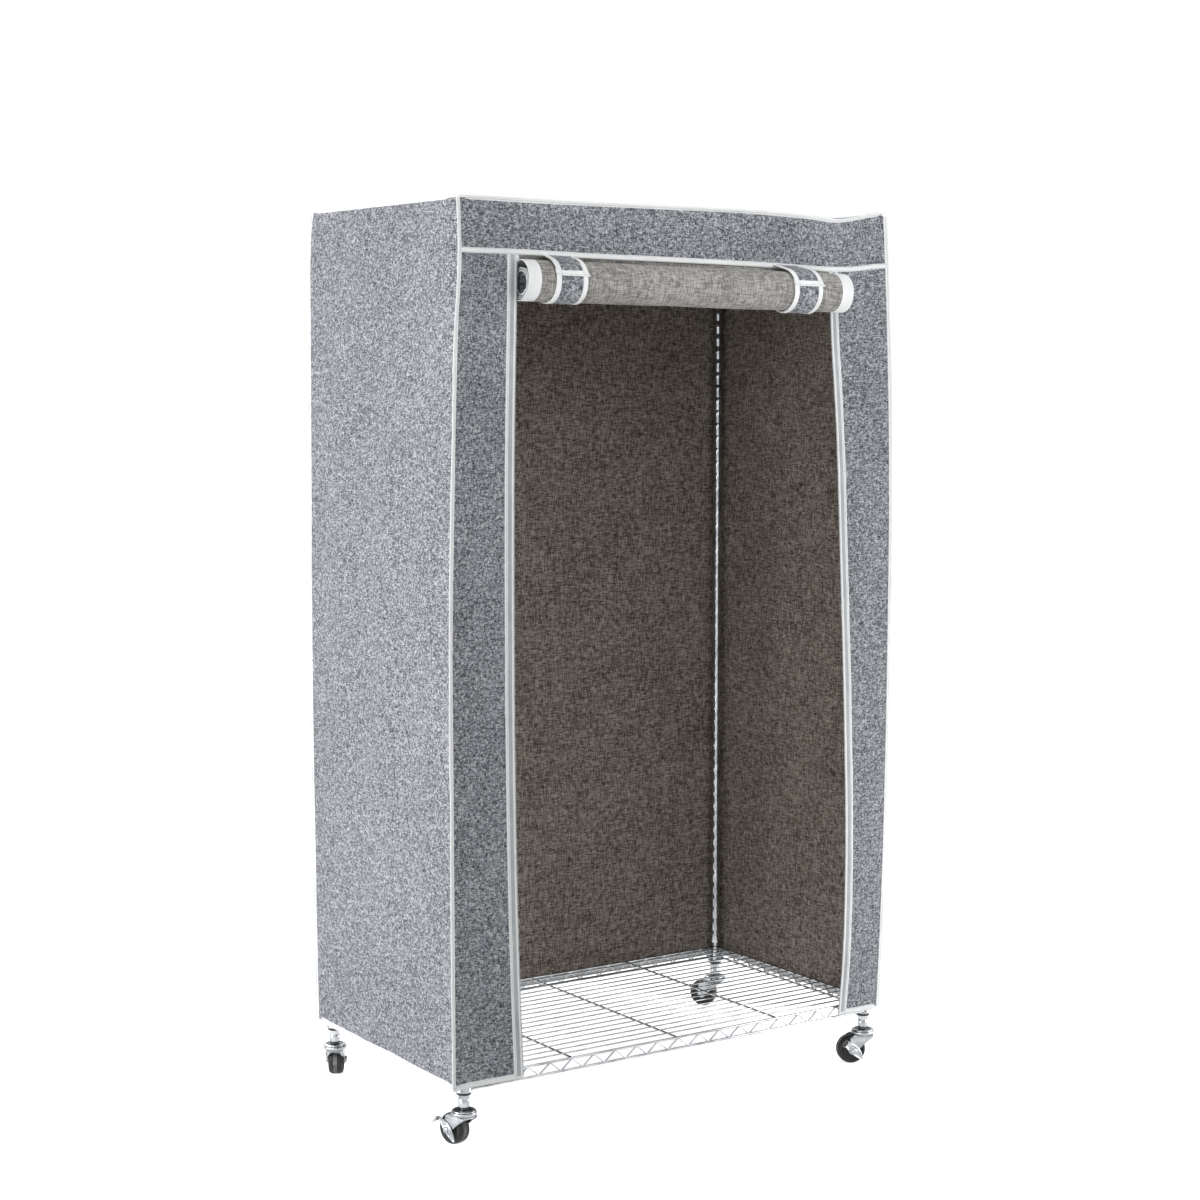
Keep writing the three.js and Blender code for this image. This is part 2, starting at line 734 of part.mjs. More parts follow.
function valance() {
  return clothPanel(frontShares, [0, 1], (u, v) => {
    const z = THREE.MathUtils.lerp(seamAt(u) + seamBelow, wallTop - topDip(u), v);
    const x = stationX(u, cornerX(frontLeft, z) + sideRoom, cornerX(frontRight, z) - sideRoom);
    return new THREE.Vector3(x, frontWallY, z);
  });
}

function seamBand() {
  const bandRoom = cornerBindingLeg + clothSeamGap;
  const rings = frontShares.map((u) => {
    const middle = seamAt(u);
    const x = stationX(u, cornerX(frontLeft, middle) + bandRoom, cornerX(frontRight, middle) - bandRoom);
    const [back, front] = [1, -1].map((end) => frontWallY + end * seamBandThickness / 2);
    const [bottom, top] = [-1, 1].map((end) => middle + end * seamBandHeight / 2);
    return [
      new THREE.Vector3(x, front, bottom), new THREE.Vector3(x, front, top),
      new THREE.Vector3(x, back, top), new THREE.Vector3(x, back, bottom),
    ];
  });
  return loft(rings);
}

// a strip from its corner to its zip tape, with a column at each bend of the seam above it
function frontStrip(side) {
  const corner = side < 0 ? frontLeft : frontRight;
  const outerX = (z) => cornerX(corner, z) - side * sideRoom;
  const innerX = (z) => openingEdge(side, z) + side * (tapeWidth + clearance);
  const bends = frontShares.map((share) => coverWidth * share - halfWidth)
    .map((x) => (x - innerX(seamHeight)) / (outerX(seamHeight) - innerX(seamHeight)))
    .filter((share) => share > 0 && share < 1).sort((a, b) => a - b);
  return clothPanel([0, ...bends, 1], edgeShares, (u, v) => {
    const topX = THREE.MathUtils.lerp(innerX(seamHeight), outerX(seamHeight), u);
    const z = THREE.MathUtils.lerp(wallBottom, seamZ(topX) - seamBelow, v);
    return new THREE.Vector3(THREE.MathUtils.lerp(innerX(z), outerX(z), u), frontWallY, z);
  });
}

function zipTapeStrip(side) {
  const innerTop = openingEdge(side, seamHeight);
  const topAt = (x) => seamZ(x) - seamBelow - clearance;
  const rings = edgeShares.map((v) => {
    const [innerZ, outerZ] = [innerTop, innerTop + side * tapeWidth].map(
      (x) => THREE.MathUtils.lerp(wallBottom, topAt(x), v),
    );
    const inner = openingEdge(side, innerZ);
    const outer = inner + side * tapeWidth;
    const [back, front] = [1, -1].map((end) => frontWallY + end * tapeThickness / 2);
    return [
      new THREE.Vector3(outer, front, outerZ), new THREE.Vector3(inner, front, innerZ),
      new THREE.Vector3(inner, back, innerZ), new THREE.Vector3(outer, back, outerZ),
    ];
  });
  return loft(rings);
}

// a slider gripping the inner edge of its tape, with a puller hanging inside
function zipSlider(side) {
  const top = seamZ(openingEdge(side, seamHeight)) - seamBelow;
  const z = top - sliderHeight - clearance;
  const edge = openingEdge(side, z);
  const slot = tapeThickness / 2 + clearance;
  const inner = sliderWidth - sliderGrip;
  const outline = new THREE.Shape([
    new THREE.Vector2(sliderGrip, slot), new THREE.Vector2(sliderGrip, sliderDepth / 2),
    new THREE.Vector2(-inner, sliderDepth / 2), new THREE.Vector2(-inner, -sliderDepth / 2),
    new THREE.Vector2(sliderGrip, -sliderDepth / 2), new THREE.Vector2(sliderGrip, -slot),
    new THREE.Vector2(-2 * clearance, -slot), new THREE.Vector2(-2 * clearance, slot),
  ]);
  const body = new THREE.ExtrudeGeometry(outline, { depth: sliderHeight, bevelEnabled: false });
  const puller = new THREE.BoxGeometry(pullerWidth, pullerThickness, pullerLength);
  puller.translate(-inner + pullerWidth / 2, sliderDepth / 2, (sliderHeight - pullerLength) / 2 - pullerWidth);
  const slider = toSolid(welded([body, puller]));
  const geometry = toGeometry(side < 0 ? slider.mirror([1, 0, 0]) : slider);
  return geometry.translate(edge, frontWallY, z);
}

function hemStation(x, y, outX, outY) {
  const half = seamBandThickness / 2;
  const [outer, inner] = [half, -half].map((out) => [x + outX * out, y + outY * out]);
  const [bottom, top] = [hemBottom, hemBottom + hemHeight];
  return [
    new THREE.Vector3(...outer, bottom), new THREE.Vector3(...outer, top),
    new THREE.Vector3(...inner, top), new THREE.Vector3(...inner, bottom),
  ];
}

// the hem runs from one opening edge round the back to the other
function hemBinding() {
  const hemCorner = (corner) => {
    const x = cornerX(corner, wallBottom) - corner.side * wallMiddle;
    const y = cornerY(corner, wallBottom) - corner.end * wallMiddle;
    return hemStation(x, y, corner.side, corner.end);
  };
  return loft([
    hemStation(openingEdge(-1, wallBottom), frontWallY, 0, -1),
    hemCorner(frontLeft), hemCorner(rearLeft), hemCorner(rearRight), hemCorner(frontRight),
    hemStation(openingEdge(1, wallBottom), frontWallY, 0, -1),
  ]);
}

// an angle of binding over one upright edge of the cover
function cornerBinding(corner) {
  const top = wallTop - topBindingLeg - bindingThickness;
  const near = bindingStandoff;
  const outer = bindingStandoff + bindingThickness;
  const sideLegShare = cornerBindingLeg / coverDepth;
  const backLegShare = cornerBindingLeg / coverWidth;
  const heights = wallShares.map((share) => THREE.MathUtils.lerp(wallBottom, wallTop, share));
  const rings = [...heights.filter((z) => z < top), top].map((z) => {
    const edgeX = cornerX(corner, z);
    const edgeY = cornerY(corner, z);
    const sideLegX = sideX(corner.side, corner.end < 0 ? sideLegShare : 1 - sideLegShare, z);
    const endLegY = corner.end < 0 ? edgeY : backY(corner.side < 0 ? backLegShare : 1 - backLegShare, z);
    const onSide = (out) => new THREE.Vector3(
      sideLegX + corner.side * out, edgeY - corner.end * cornerBindingLeg, z,
    );
    const onEdge = (out) => new THREE.Vector3(edgeX + corner.side * out, edgeY + corner.end * out, z);
    const onEnd = (out) => new THREE.Vector3(
      edgeX - corner.side * cornerBindingLeg, endLegY + corner.end * out, z,
    );
    return [onSide(outer), onEdge(outer), onEnd(outer), onEnd(near), onEdge(near), onSide(near)];
  });
  return loft(rings);
}

// an angle of binding round the whole top edge, following the dip of the front
function topBinding() {
  const near = bindingStandoff;
  const outer = bindingStandoff + bindingThickness;
  const station = (edgeAt, outX, outY, u, v) => {
    const legShare = topBindingLeg / coverDepth;
    const edgeZ = topSurfaceZ(u, v);
    const innerZ = topSurfaceZ(u, THREE.MathUtils.clamp(v, legShare, 1 - legShare));
    const legEnd = edgeZ - clothThickness - clearance - topBindingLeg;
    const place = (out, z, edge) => new THREE.Vector3(edge[0] + outX * out, edge[1] + outY * out, z);
    const [low, high] = [edgeAt(legEnd), edgeAt(edgeZ)];
    return [
      place(outer, legEnd, low), place(outer, edgeZ + outer, high), place(-topBindingLeg, innerZ + outer, high),
      place(-topBindingLeg, innerZ + near, high), place(near, edgeZ + near, high), place(near, legEnd, low),
    ];
  };
  const atCorner = (corner, u, v) => station(
    (z) => [cornerX(corner, z), cornerY(corner, z)], corner.side, corner.end, u, v,
  );
  const inner = (shares) => shares.slice(1, -1);
  const alongSide = (side, v, u) => station((z) => [sideX(side, v, z), sideY(side, v, z)], side, 0, u, v);
  return loft([
    atCorner(frontLeft, 0, 0),
    ...inner(frontShares).map((u) => station(() => [stationX(u), -halfDepth], 0, -1, u, 0)),
    atCorner(frontRight, 1, 0),
    ...inner(sideShares).map((v) => alongSide(1, v, 1)),
    atCorner(rearRight, 1, 1),
    ...inner(backShares).reverse().map((u) => station((z) => [backX(u, z), backY(u, z)], 0, 1, u, 1)),
    atCorner(rearLeft, 0, 1),
    ...inner(sideShares).reverse().map((v) => alongSide(-1, v, 0)),
  ], true);
}

// rolled door: an axis from its left end, sunk into the opening, to its right end, proud of the front

const rollLeft = new THREE.Vector3(
  openingEdge(-1, seamHeight) + rollSideGap, -halfDepth - rollLeftForward, seamHeight - rollLeftBelowSeam,
);
const rollRight = new THREE.Vector3(
  openingEdge(1, seamHeight) - rollSideGap, -halfDepth - rollRightForward, seamHeight - rollRightBelowSeam,
);
const rollAxis = rollRight.clone().sub(rollLeft);

function rollCentre(x) {
  return rollLeft.clone().addScaledVector(rollAxis, (x - rollLeft.x) / rollAxis.x);
}

// the winding seen along the axis: a tight coil resting low in one round outer turn
const rollOuterEnd = -Math.PI / 12;
const rollMiddleRadius = rollRadius - rollCloth / 2;

function windingPoint(backTurns) {
  const angle = rollOuterEnd - 2 * Math.PI * backTurns;
  const loosening = THREE.MathUtils.smoothstep(backTurns, rollLooseFrom, rollLooseTo);
  const radius = rollMiddleRadius - rollLooseness * loosening - rollPitch * backTurns;
  return new THREE.Vector2(radius * Math.cos(angle), radius * Math.sin(angle) - rollDrop * loosening);
}

const rollTurns = Math.floor((rollMiddleRadius - rollLooseness - rollBore) / rollPitch * stepsPerTurn) / stepsPerTurn;
const windingSteps = Math.round(rollTurns * stepsPerTurn);
const winding = Array.from({ length: windingSteps + 1 }, (unused, i) => windingPoint(i / stepsPerTurn));

function windingNormal(i) {
  const before = winding[Math.max(i - 1, 0)];
  const after = winding[Math.min(i + 1, windingSteps)];
  const run = after.clone().sub(before).normalize();
  return new THREE.Vector2(run.y, -run.x);
}

// least gap between one turn and the next, measured from each point to the spans a turn or so on
function windingSelfGap() {
  let least = Infinity;
  const span = new THREE.Line3();
  const nearest = new THREE.Vector3();
  for (let i = 0; i <= windingSteps; i += 1) {
    const here = new THREE.Vector3(winding[i].x, winding[i].y, 0);
    for (let j = i + Math.round(stepsPerTurn / 2); j < windingSteps; j += 1) {
      span.start.set(winding[j].x, winding[j].y, 0);
      span.end.set(winding[j + 1].x, winding[j + 1].y, 0);
      span.closestPointToPoint(here, true, nearest);
      least = Math.min(least, nearest.distanceTo(here) - rollCloth);
    }
  }
  return least;
}

function windingLength() {
  return winding.slice(1).reduce((sum, point, i) => sum + point.distanceTo(winding[i]), 0);
}

function doorRoll() {
  const outer = winding.map((point, i) => point.clone().addScaledVector(windingNormal(i), rollCloth / 2));
  const inner = winding.map((point, i) => point.clone().addScaledVector(windingNormal(i), -rollCloth / 2));
  const section = [...outer, ...inner.reverse()];
  const ahead = rollAxis.clone().normalize();
  const across = new THREE.Vector3(0, 0, 1).cross(ahead).normalize();
  const up = ahead.clone().cross(across);
  return loft([rollLeft, rollRight].map((centre) => section.map(
    (point) => centre.clone().addScaledVector(across, point.x).addScaledVector(up, point.y),
  )));
}

// cloth that leaves the seam, touches the roll along a tangent and follows it round
function lapPath(x, startY, thickness, radiusAt, side, endAngle, steps) {
  const centre = rollCentre(x);
  const start = new THREE.Vector2(startY, seamZ(x) - seamBelow - thickness / 2);
  const reach = new THREE.Vector2(start.x - centre.y, start.y - centre.z);
  const slack = Math.acos(Math.min(radiusAt(0) / reach.length(), 1));
  const first = Math.atan2(reach.y, reach.x) - side * slack;
  const path = [start];
  for (let i = 0; i <= steps; i += 1) {
    const share = i / steps;
    const angle = THREE.MathUtils.lerp(first, endAngle, share);
    const radius = radiusAt(share);
    path.push(new THREE.Vector2(centre.y + radius * Math.cos(angle), centre.z + radius * Math.sin(angle)));
  }
  return path;
}

// a band of cloth across the given places along X, following its path in Y and Z
function bandAcross(places, pathAt, thickness) {
  const rings = places.map((x) => {
    const path = pathAt(x);
    const last = path.length - 1;
    const offset = (point, i, out) => {
      const run = path[Math.min(i + 1, last)].clone().sub(path[Math.max(i - 1, 0)]).normalize();
      return new THREE.Vector3(x, point.x + run.y * out, point.y - run.x * out);
    };
    const outer = path.map((point, i) => offset(point, i, thickness / 2));
    const inner = path.map((point, i) => offset(point, i, -thickness / 2));
    return [...outer, ...inner.reverse()];
  });
  return loft(rings);
}

const sheetRadius = rollRadius + layerGap + clothThickness / 2;
const wrapBackRadius = sheetRadius + clothThickness / 2 + wrapGap + strapThickness / 2;
const wrapFrontRadius = rollRadius + layerGap + strapThickness / 2;
const tabRadius = wrapFrontRadius + strapThickness + layerGap;

const strapEdges = (side) => {
  const middle = side < 0 ? leftStrapPlace : rightStrapPlace;
  return [middle - strapWidth / 2, middle + strapWidth / 2];
};

// the stretch of door from the seam to the roll, with a column at each bend of the seam and strap edge
function doorSheet() {
  const bends = frontShares.map((share) => coverWidth * share - halfWidth);
  const inner = [...bends, ...strapEdges(-1), ...strapEdges(1)].filter((x) => x > rollLeft.x && x < rollRight.x);
  const places = [rollLeft.x, ...inner.sort((a, b) => a - b), rollRight.x];
  return bandAcross(places, (x) => lapPath(
    x, frontWallY, clothThickness, () => sheetRadius, 1, rollOuterEnd, arcSteps,
  ), clothThickness);
}

// each strap comes down behind the door cloth, under the roll and up its front
const wrapEndAngle = -1.17 * Math.PI;
const wrapTightenShares = [0.35, 0.6];

function strapWrap(side) {
  const radiusAt = (share) => THREE.MathUtils.lerp(
    wrapBackRadius, wrapFrontRadius, THREE.MathUtils.smoothstep(share, ...wrapTightenShares),
  );
  return bandAcross(strapEdges(side), (x) => lapPath(
    x, frontWallY + wrapBehind, strapThickness, radiusAt, 1, wrapEndAngle, 3 * arcSteps,
  ), strapThickness);
}

// the loose tab hangs from the seam over the top and front of the roll
const tabEndAngle = 0.93 * Math.PI;

function strapTab(side) {
  return bandAcross(strapEdges(side), (x) => lapPath(
    x, frontWallY - clothThickness / 2 - tabForward, strapThickness, () => tabRadius, -1, tabEndAngle, arcSteps,
  ), strapThickness);
}

for (const corner of corners) {
  const place = new THREE.Vector3(corner.side * postX, corner.end * postY, 0);
  addPiece(`post_${corner.name}`, post(), chrome).position.copy(place);
  addPiece(`lower_sleeve_${corner.name}`, sleeve(sleeveFoot(lowerDeckTop)), blackPlastic).position.copy(place);
  addPiece(`upper_sleeve_${corner.name}`, sleeve(sleeveFoot(upperDeckTop)), blackPlastic).position.copy(place);
  addCaster(corner);
  addPiece(`corner_binding_${corner.name}`, cornerBinding(corner), whiteBinding);
}
addPiece('bottom_shelf', shelf(lowerDeckTop, true), chrome);
addPiece('top_shelf', shelf(upperDeckTop, false), chrome);
addPiece('hanging_rod', hangingRod(), chrome);
for (const [sideName, side] of [['left', -1], ['right', 1]]) {
  addPiece(`rod_bracket_${sideName}`, rodBracket(side), chrome);
  addPiece(`cover_side_${sideName}`, sideWall(side), greyCloth);
  addPiece(`front_strip_${sideName}`, frontStrip(side), greyCloth);
  addPiece(`zip_tape_${sideName}`, zipTapeStrip(side), zipTape);
  addPiece(`zip_slider_${sideName}`, zipSlider(side), paintedZinc);
  addPiece(`strap_wrap_${sideName}`, strapWrap(side), greyCloth);
  addPiece(`strap_tab_${sideName}`, strapTab(side), greyCloth);
}
addPiece('cover_back', backWall(), greyCloth);
addPiece('cover_top', topPanel(), greyCloth);
addPiece('valance', valance(), greyCloth);
addPiece('seam_band', seamBand(), whiteBinding);
addPiece('hem_binding', hemBinding(), whiteBinding);
addPiece('top_binding', topBinding(), whiteBinding);
addPiece('door_roll', doorRoll(), liningCloth);
addPiece('door_sheet', doorSheet(), greyCloth);

console.log(`door winding: ${rollTurns} turns, ${windingLength().toFixed(0)} mm of cloth, `
  + `least gap to itself ${windingSelfGap().toFixed(2)} mm`);

// the origin is on the floor under the middle of the whole wardrobe
const wholeMiddle = new THREE.Box3().setFromObject(wardrobe).getCenter(new THREE.Vector3());
wardrobe.position.set(-wholeMiddle.x, -wholeMiddle.y, 0);

export default wardrobe;
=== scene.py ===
import bpy
import bmesh
import math
import numpy as np
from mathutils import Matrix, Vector


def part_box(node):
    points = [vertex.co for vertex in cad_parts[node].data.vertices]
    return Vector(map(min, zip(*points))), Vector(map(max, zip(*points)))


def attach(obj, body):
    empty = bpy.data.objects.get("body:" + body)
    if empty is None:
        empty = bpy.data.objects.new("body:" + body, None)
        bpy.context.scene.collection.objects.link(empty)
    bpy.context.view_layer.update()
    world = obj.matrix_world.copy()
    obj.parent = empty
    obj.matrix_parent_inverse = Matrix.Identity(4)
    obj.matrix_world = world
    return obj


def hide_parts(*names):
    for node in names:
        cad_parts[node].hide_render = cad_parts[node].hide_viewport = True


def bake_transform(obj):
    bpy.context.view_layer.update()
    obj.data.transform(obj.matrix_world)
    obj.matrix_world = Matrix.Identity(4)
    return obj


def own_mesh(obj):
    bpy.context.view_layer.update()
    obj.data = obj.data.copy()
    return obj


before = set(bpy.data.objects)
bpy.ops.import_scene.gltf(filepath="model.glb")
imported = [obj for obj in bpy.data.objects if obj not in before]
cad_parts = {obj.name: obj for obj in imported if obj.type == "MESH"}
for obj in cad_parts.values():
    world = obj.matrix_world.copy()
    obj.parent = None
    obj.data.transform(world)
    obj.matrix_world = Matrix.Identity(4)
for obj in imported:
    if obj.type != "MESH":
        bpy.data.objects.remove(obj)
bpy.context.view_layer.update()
scene = bpy.context.scene
print("frame loaded")

cornerSides = {"front_left": (-1, -1), "front_right": (1, -1), "rear_left": (-1, 1), "rear_right": (1, 1)}
bothSides = {"left": -1, "right": 1}
rackMiddle = sum((sum(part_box(f"post_{corner}"), Vector()) for corner in cornerSides), Vector()) / 8
drawnAbove = 15   # heights of rack and cover are counted from 15 mm above the floor
shift = np.array([rackMiddle.x * 1000, rackMiddle.y * 1000, drawnAbove])   # from millimetres about the rack's middle


def toFrame(points):
    return (np.asarray(points, float) + shift) / 1000


def pointsOf(x, y, z):   # points from rows of numbers, or from single ones
    return np.stack(np.broadcast_arrays(x, y, z), -1)


# reading of tables

def smoothRead(places, values, at):   # a soft curve through a table, flat beyond its ends
    places, values, at = (np.asarray(part, float) for part in (places, values, at))
    steps = np.diff(places)
    slopes = np.diff(values) / steps
    inner = (slopes[:-1] * steps[1:] + slopes[1:] * steps[:-1]) / (steps[:-1] + steps[1:])
    tangents = np.concatenate(([slopes[0]], inner, [slopes[-1]]))
    i = np.clip(np.searchsorted(places, at) - 1, 0, len(steps) - 1)
    t = np.clip((at - places[i]) / steps[i], 0, 1)
    return ((1 + 2 * t) * (1 - t) ** 2 * values[i] + t * (1 - t) ** 2 * steps[i] * tangents[i]
            + t * t * (3 - 2 * t) * values[i + 1] + t * t * (t - 1) * steps[i] * tangents[i + 1])


def smoothStep(low, high, at):
    t = np.clip((at - low) / (high - low), 0, 1)
    return t * t * (3 - 2 * t)


def waves(across, along, seed, length):   # slow even unrest of hanging cloth, about -1 to 1
    picks = np.random.default_rng(seed)
    total = 0
    for octave in range(4):
        turn = picks.uniform(-0.35, 0.35)
        stride = length / (1 + 0.62 * octave)
        phase = picks.uniform(0, 2 * math.pi)
        total = total + np.sin(2 * math.pi * (across * math.cos(turn) + along * math.sin(turn) * 0.5) / stride
                               + phase + 1.3 * np.sin(along / (length * 2.3) + phase)) / (1 + octave)
    return total / 2.1


# node trees

def linearColour(code):
    parts = [int(code[i:i + 2], 16) / 255 for i in (1, 3, 5)]
    return [p / 12.92 if p <= 0.04045 else ((p + 0.055) / 1.055) ** 2.4 for p in parts] + [1.0]


def addNode(tree, kind, inputs=None, **settings):
    node = tree.nodes.new(kind)
    for name, value in settings.items():
        setattr(node, name, value)
    for name, value in (inputs or {}).items():
        if isinstance(value, bpy.types.NodeSocket):
            tree.links.new(value, node.inputs[name])
        else:
            node.inputs[name].default_value = value
    return node


def newMaterial(name, roughness, metallic=0.0, specular=0.5, sheen=0.0):
    material = bpy.data.materials.new(name)
    material.use_nodes = True
    tree = material.node_tree
    shader = tree.nodes["Principled BSDF"]
    values = {"Roughness": roughness, "Metallic": metallic, "Specular IOR Level": specular, "Sheen Weight": sheen}
    for socket, value in values.items():
        shader.inputs[socket].default_value = value
    return material, tree, shader


def stretchedNoise(tree, coordinates, scale, detail, roughness, seed=0.0):
    moved = addNode(tree, "ShaderNodeMapping", {
        "Vector": coordinates, "Scale": scale, "Location": (seed, seed * 0.7, 0)})
    return addNode(tree, "ShaderNodeTexNoise", {
        "Vector": moved.outputs[0], "Scale": 1.0, "Detail": detail, "Roughness": roughness}).outputs["Fac"]


def coloured(tree, shader, value, stops):   # sRGB codes at their places on a ramp
    node = addNode(tree, "ShaderNodeValToRGB", {"Fac": value})
    while len(node.color_ramp.elements) < len(stops):
        node.color_ramp.elements.new(0.5)
    for element, (place, code) in zip(node.color_ramp.elements, stops):
        element.position = place
        element.color = linearColour(code)
    tree.links.new(node.outputs["Color"], shader.inputs["Base Color"])


def maths(tree, kind, *values):
    return addNode(tree, "ShaderNodeMath", dict(enumerate(values)), operation=kind).outputs[0]


def bumped(tree, shader, height, strength, distance):
    bump = addNode(tree, "ShaderNodeBump", {"Height": height, "Strength": strength, "Distance": distance})
    tree.links.new(bump.outputs["Normal"], shader.inputs["Normal"])


# woven cloth: each thread is a row of short pale and dark runs, and warp and weft show alike over slow clouds

def threadRuns(tree, across, along, look, seed):   # one shade from 0 to 1 for each run of each thread
    row = maths(tree, "FLOOR", maths(tree, "MULTIPLY", across, 1 / look["threadSpacing"]))
    row = maths(tree, "ADD", row, seed)
    start = addNode(tree, "ShaderNodeTexWhiteNoise", {"W": row}, noise_dimensions="1D").outputs["Value"]
    start = maths(tree, "MULTIPLY", start, 17.0)   # each thread's runs start at a place of their own
    place = maths(tree, "ADD", maths(tree, "MULTIPLY", along, 1 / look["threadRun"]), start)
    cell = addNode(tree, "ShaderNodeCombineXYZ", {"X": row, "Y": maths(tree, "FLOOR", place)}).outputs[0]
    return addNode(tree, "ShaderNodeTexWhiteNoise", {"Vector": cell}, noise_dimensions="2D").outputs["Value"]


def wovenCloth(name, look):
    material, tree, shader = newMaterial(name, look["roughness"], specular=0.2, sheen=look["sheen"])
    uv = addNode(tree, "ShaderNodeUVMap", uv_map="cloth").outputs["UV"]
    apart = addNode(tree, "ShaderNodeSeparateXYZ", {"Vector": uv}).outputs
    warp = threadRuns(tree, apart["X"], apart["Y"], look, 11.0)
    weft = threadRuns(tree, apart["Y"], apart["X"], look, 57.0)
    threads = maths(tree, "ADD", maths(tree, "MULTIPLY", warp, look["warpShare"]),
                    maths(tree, "MULTIPLY", weft, 1 - look["warpShare"]))
    slubs = stretchedNoise(tree, uv, (30, look["slub"], 1), 2.0, 0.6, 4.3)
    clouds = stretchedNoise(tree, uv, (look["cloud"], look["cloud"] * 0.8, 1), 3.0, 0.55, 3.1)
    shade = threads
    for pattern, depth in ((clouds, look["cloudDepth"]), (slubs, look["slubDepth"])):
        shade = maths(tree, "ADD", shade, maths(tree, "MULTIPLY", maths(tree, "SUBTRACT", pattern, 0.5), depth))
    coloured(tree, shader, shade, look["shades"])
    bumped(tree, shader, threads, look["bump"], 0.0006)
    return material


greyMelange = wovenCloth("greyMelangeLinen", {   # linen-look polyester of walls, valance and straps: matt, flecked grey
    # real threads lie 0.7 mm apart; that is too fine to show, so they are drawn about twice as coarse here and below
    "roughness": 0.92, "sheen": 0.1, "threadSpacing": 0.0016, "threadRun": 0.0045, "warpShare": 0.45, "slub": 420,
    "slubDepth": 0.12, "cloud": 5.0, "cloudDepth": 0.16, "bump": 0.35,
    "shades": [(0.1, "#3f4146"), (0.35, "#717379"), (0.5, "#86888e"), (0.65, "#9d9fa5"), (0.9, "#c9cbd0")],
})
reverseCloth = wovenCloth("greigeReverse", {   # the same cloth's smoother, paler back, on the rolled door
    "roughness": 0.88, "sheen": 0.1, "threadSpacing": 0.0018, "threadRun": 0.011, "warpShare": 0.5, "slub": 200,
    "slubDepth": 0.25, "cloud": 6.0, "cloudDepth": 0.4, "bump": 0.15,
    "shades": [(0.15, "#757370"), (0.5, "#989692"), (0.85, "#b9b7b2")],
})
innerClothPaintedShade = wovenCloth("brownReversePaintedShade", {   # that back on the walls, made browner and darker than on the door: painted shade of the inside
    "roughness": 0.9, "sheen": 0.05, "threadSpacing": 0.0016, "threadRun": 0.009, "warpShare": 0.5, "slub": 260,
    "slubDepth": 0.2, "cloud": 5.0, "cloudDepth": 0.2, "bump": 0.25,
    "shades": [(0.1, "#4d453f"), (0.5, "#8e847b"), (0.9, "#c8bfb5")],
})


def tapeMaterial(name, look):   # white non-woven tape, with a fine pressed grain and slightly grey folds
    material, tree, shader = newMaterial(name, look["roughness"], specular=0.3, sheen=0.1)
    uv = addNode(tree, "ShaderNodeUVMap", uv_map="cloth").outputs["UV"]
    grain = stretchedNoise(tree, uv, (900, 900, 1), 2.0, 0.6)
    cloud = stretchedNoise(tree, uv, (60, 25, 1), 3.0, 0.6, 2.0)
    shade = maths(tree, "ADD", maths(tree, "MULTIPLY", grain, 0.35), maths(tree, "MULTIPLY", cloud, 0.65))
    coloured(tree, shader, shade, [(0.3, look["dark"]), (0.6, look["pale"])])
    bumped(tree, shader, grain, 0.3, 0.0004)
    return material


whiteTape = tapeMaterial("whiteBindingTape", {   # edge bindings: matt and almost white
    "roughness": 0.8, "dark": "#eaedee", "pale": "#fafbfb"})
greyRib = tapeMaterial("greyTapeRib", {   # the zip tapes' middle, a grey line between two pale ones
    "roughness": 0.85, "dark": "#a4a8ab", "pale": "#bfc3c6"})


def metalMaterial(name, look):   # plated steel with faint rub marks and dull patches, its shades darkened overall as a painted reflection of dark surroundings
    material, tree, shader = newMaterial(name, look["roughness"], metallic=1.0)
    place = addNode(tree, "ShaderNodeTexCoord").outputs["Object"]
    rub = stretchedNoise(tree, place, look["grain"], 3.0, 0.6)
    cloud = stretchedNoise(tree, place, (40, 40, 40), 2.0, 0.5, 4.0)
    coloured(tree, shader, cloud, [(0.3, look["dark"]), (0.65, look["pale"])])
    spread = addNode(tree, "ShaderNodeMapRange", {
        "Value": rub, "To Min": look["roughness"] * 0.7, "To Max": look["roughness"] * 1.6}).outputs["Result"]
    tree.links.new(spread, shader.inputs["Roughness"])
    bumped(tree, shader, rub, look["bump"], 0.0002)
    return material


chromePlate = metalMaterial("chromePlate", {   # posts, shelves and hanging rod: bright, its tint darkened to paint in dark reflections
    "roughness": 0.13, "dark": "#96999d", "pale": "#c6c9cc", "grain": (300, 300, 40), "bump": 0.05})
zincPlate = metalMaterial("zincPlate", {   # fork, lever and bolts: a duller, softer shine, its tint darkened as painted reflection
    "roughness": 0.24, "dark": "#8d9195", "pale": "#bdc0c3", "grain": (260, 260, 260), "bump": 0.15})


def mouldedMaterial(name, roughness, specular, dark, pale):   # a fine grain under dusty patches
    material, tree, shader = newMaterial(name, roughness, specular=specular)
    place = addNode(tree, "ShaderNodeTexCoord").outputs["Object"]
    grain = stretchedNoise(tree, place, (1400, 1400, 1400), 2.0, 0.6)
    dust = stretchedNoise(tree, place, (90, 90, 90), 3.0, 0.6, 9.0)
    coloured(tree, shader, dust, [(0.35, dark), (0.7, pale)])
    bumped(tree, shader, grain, 0.25, 0.0003)
    return material


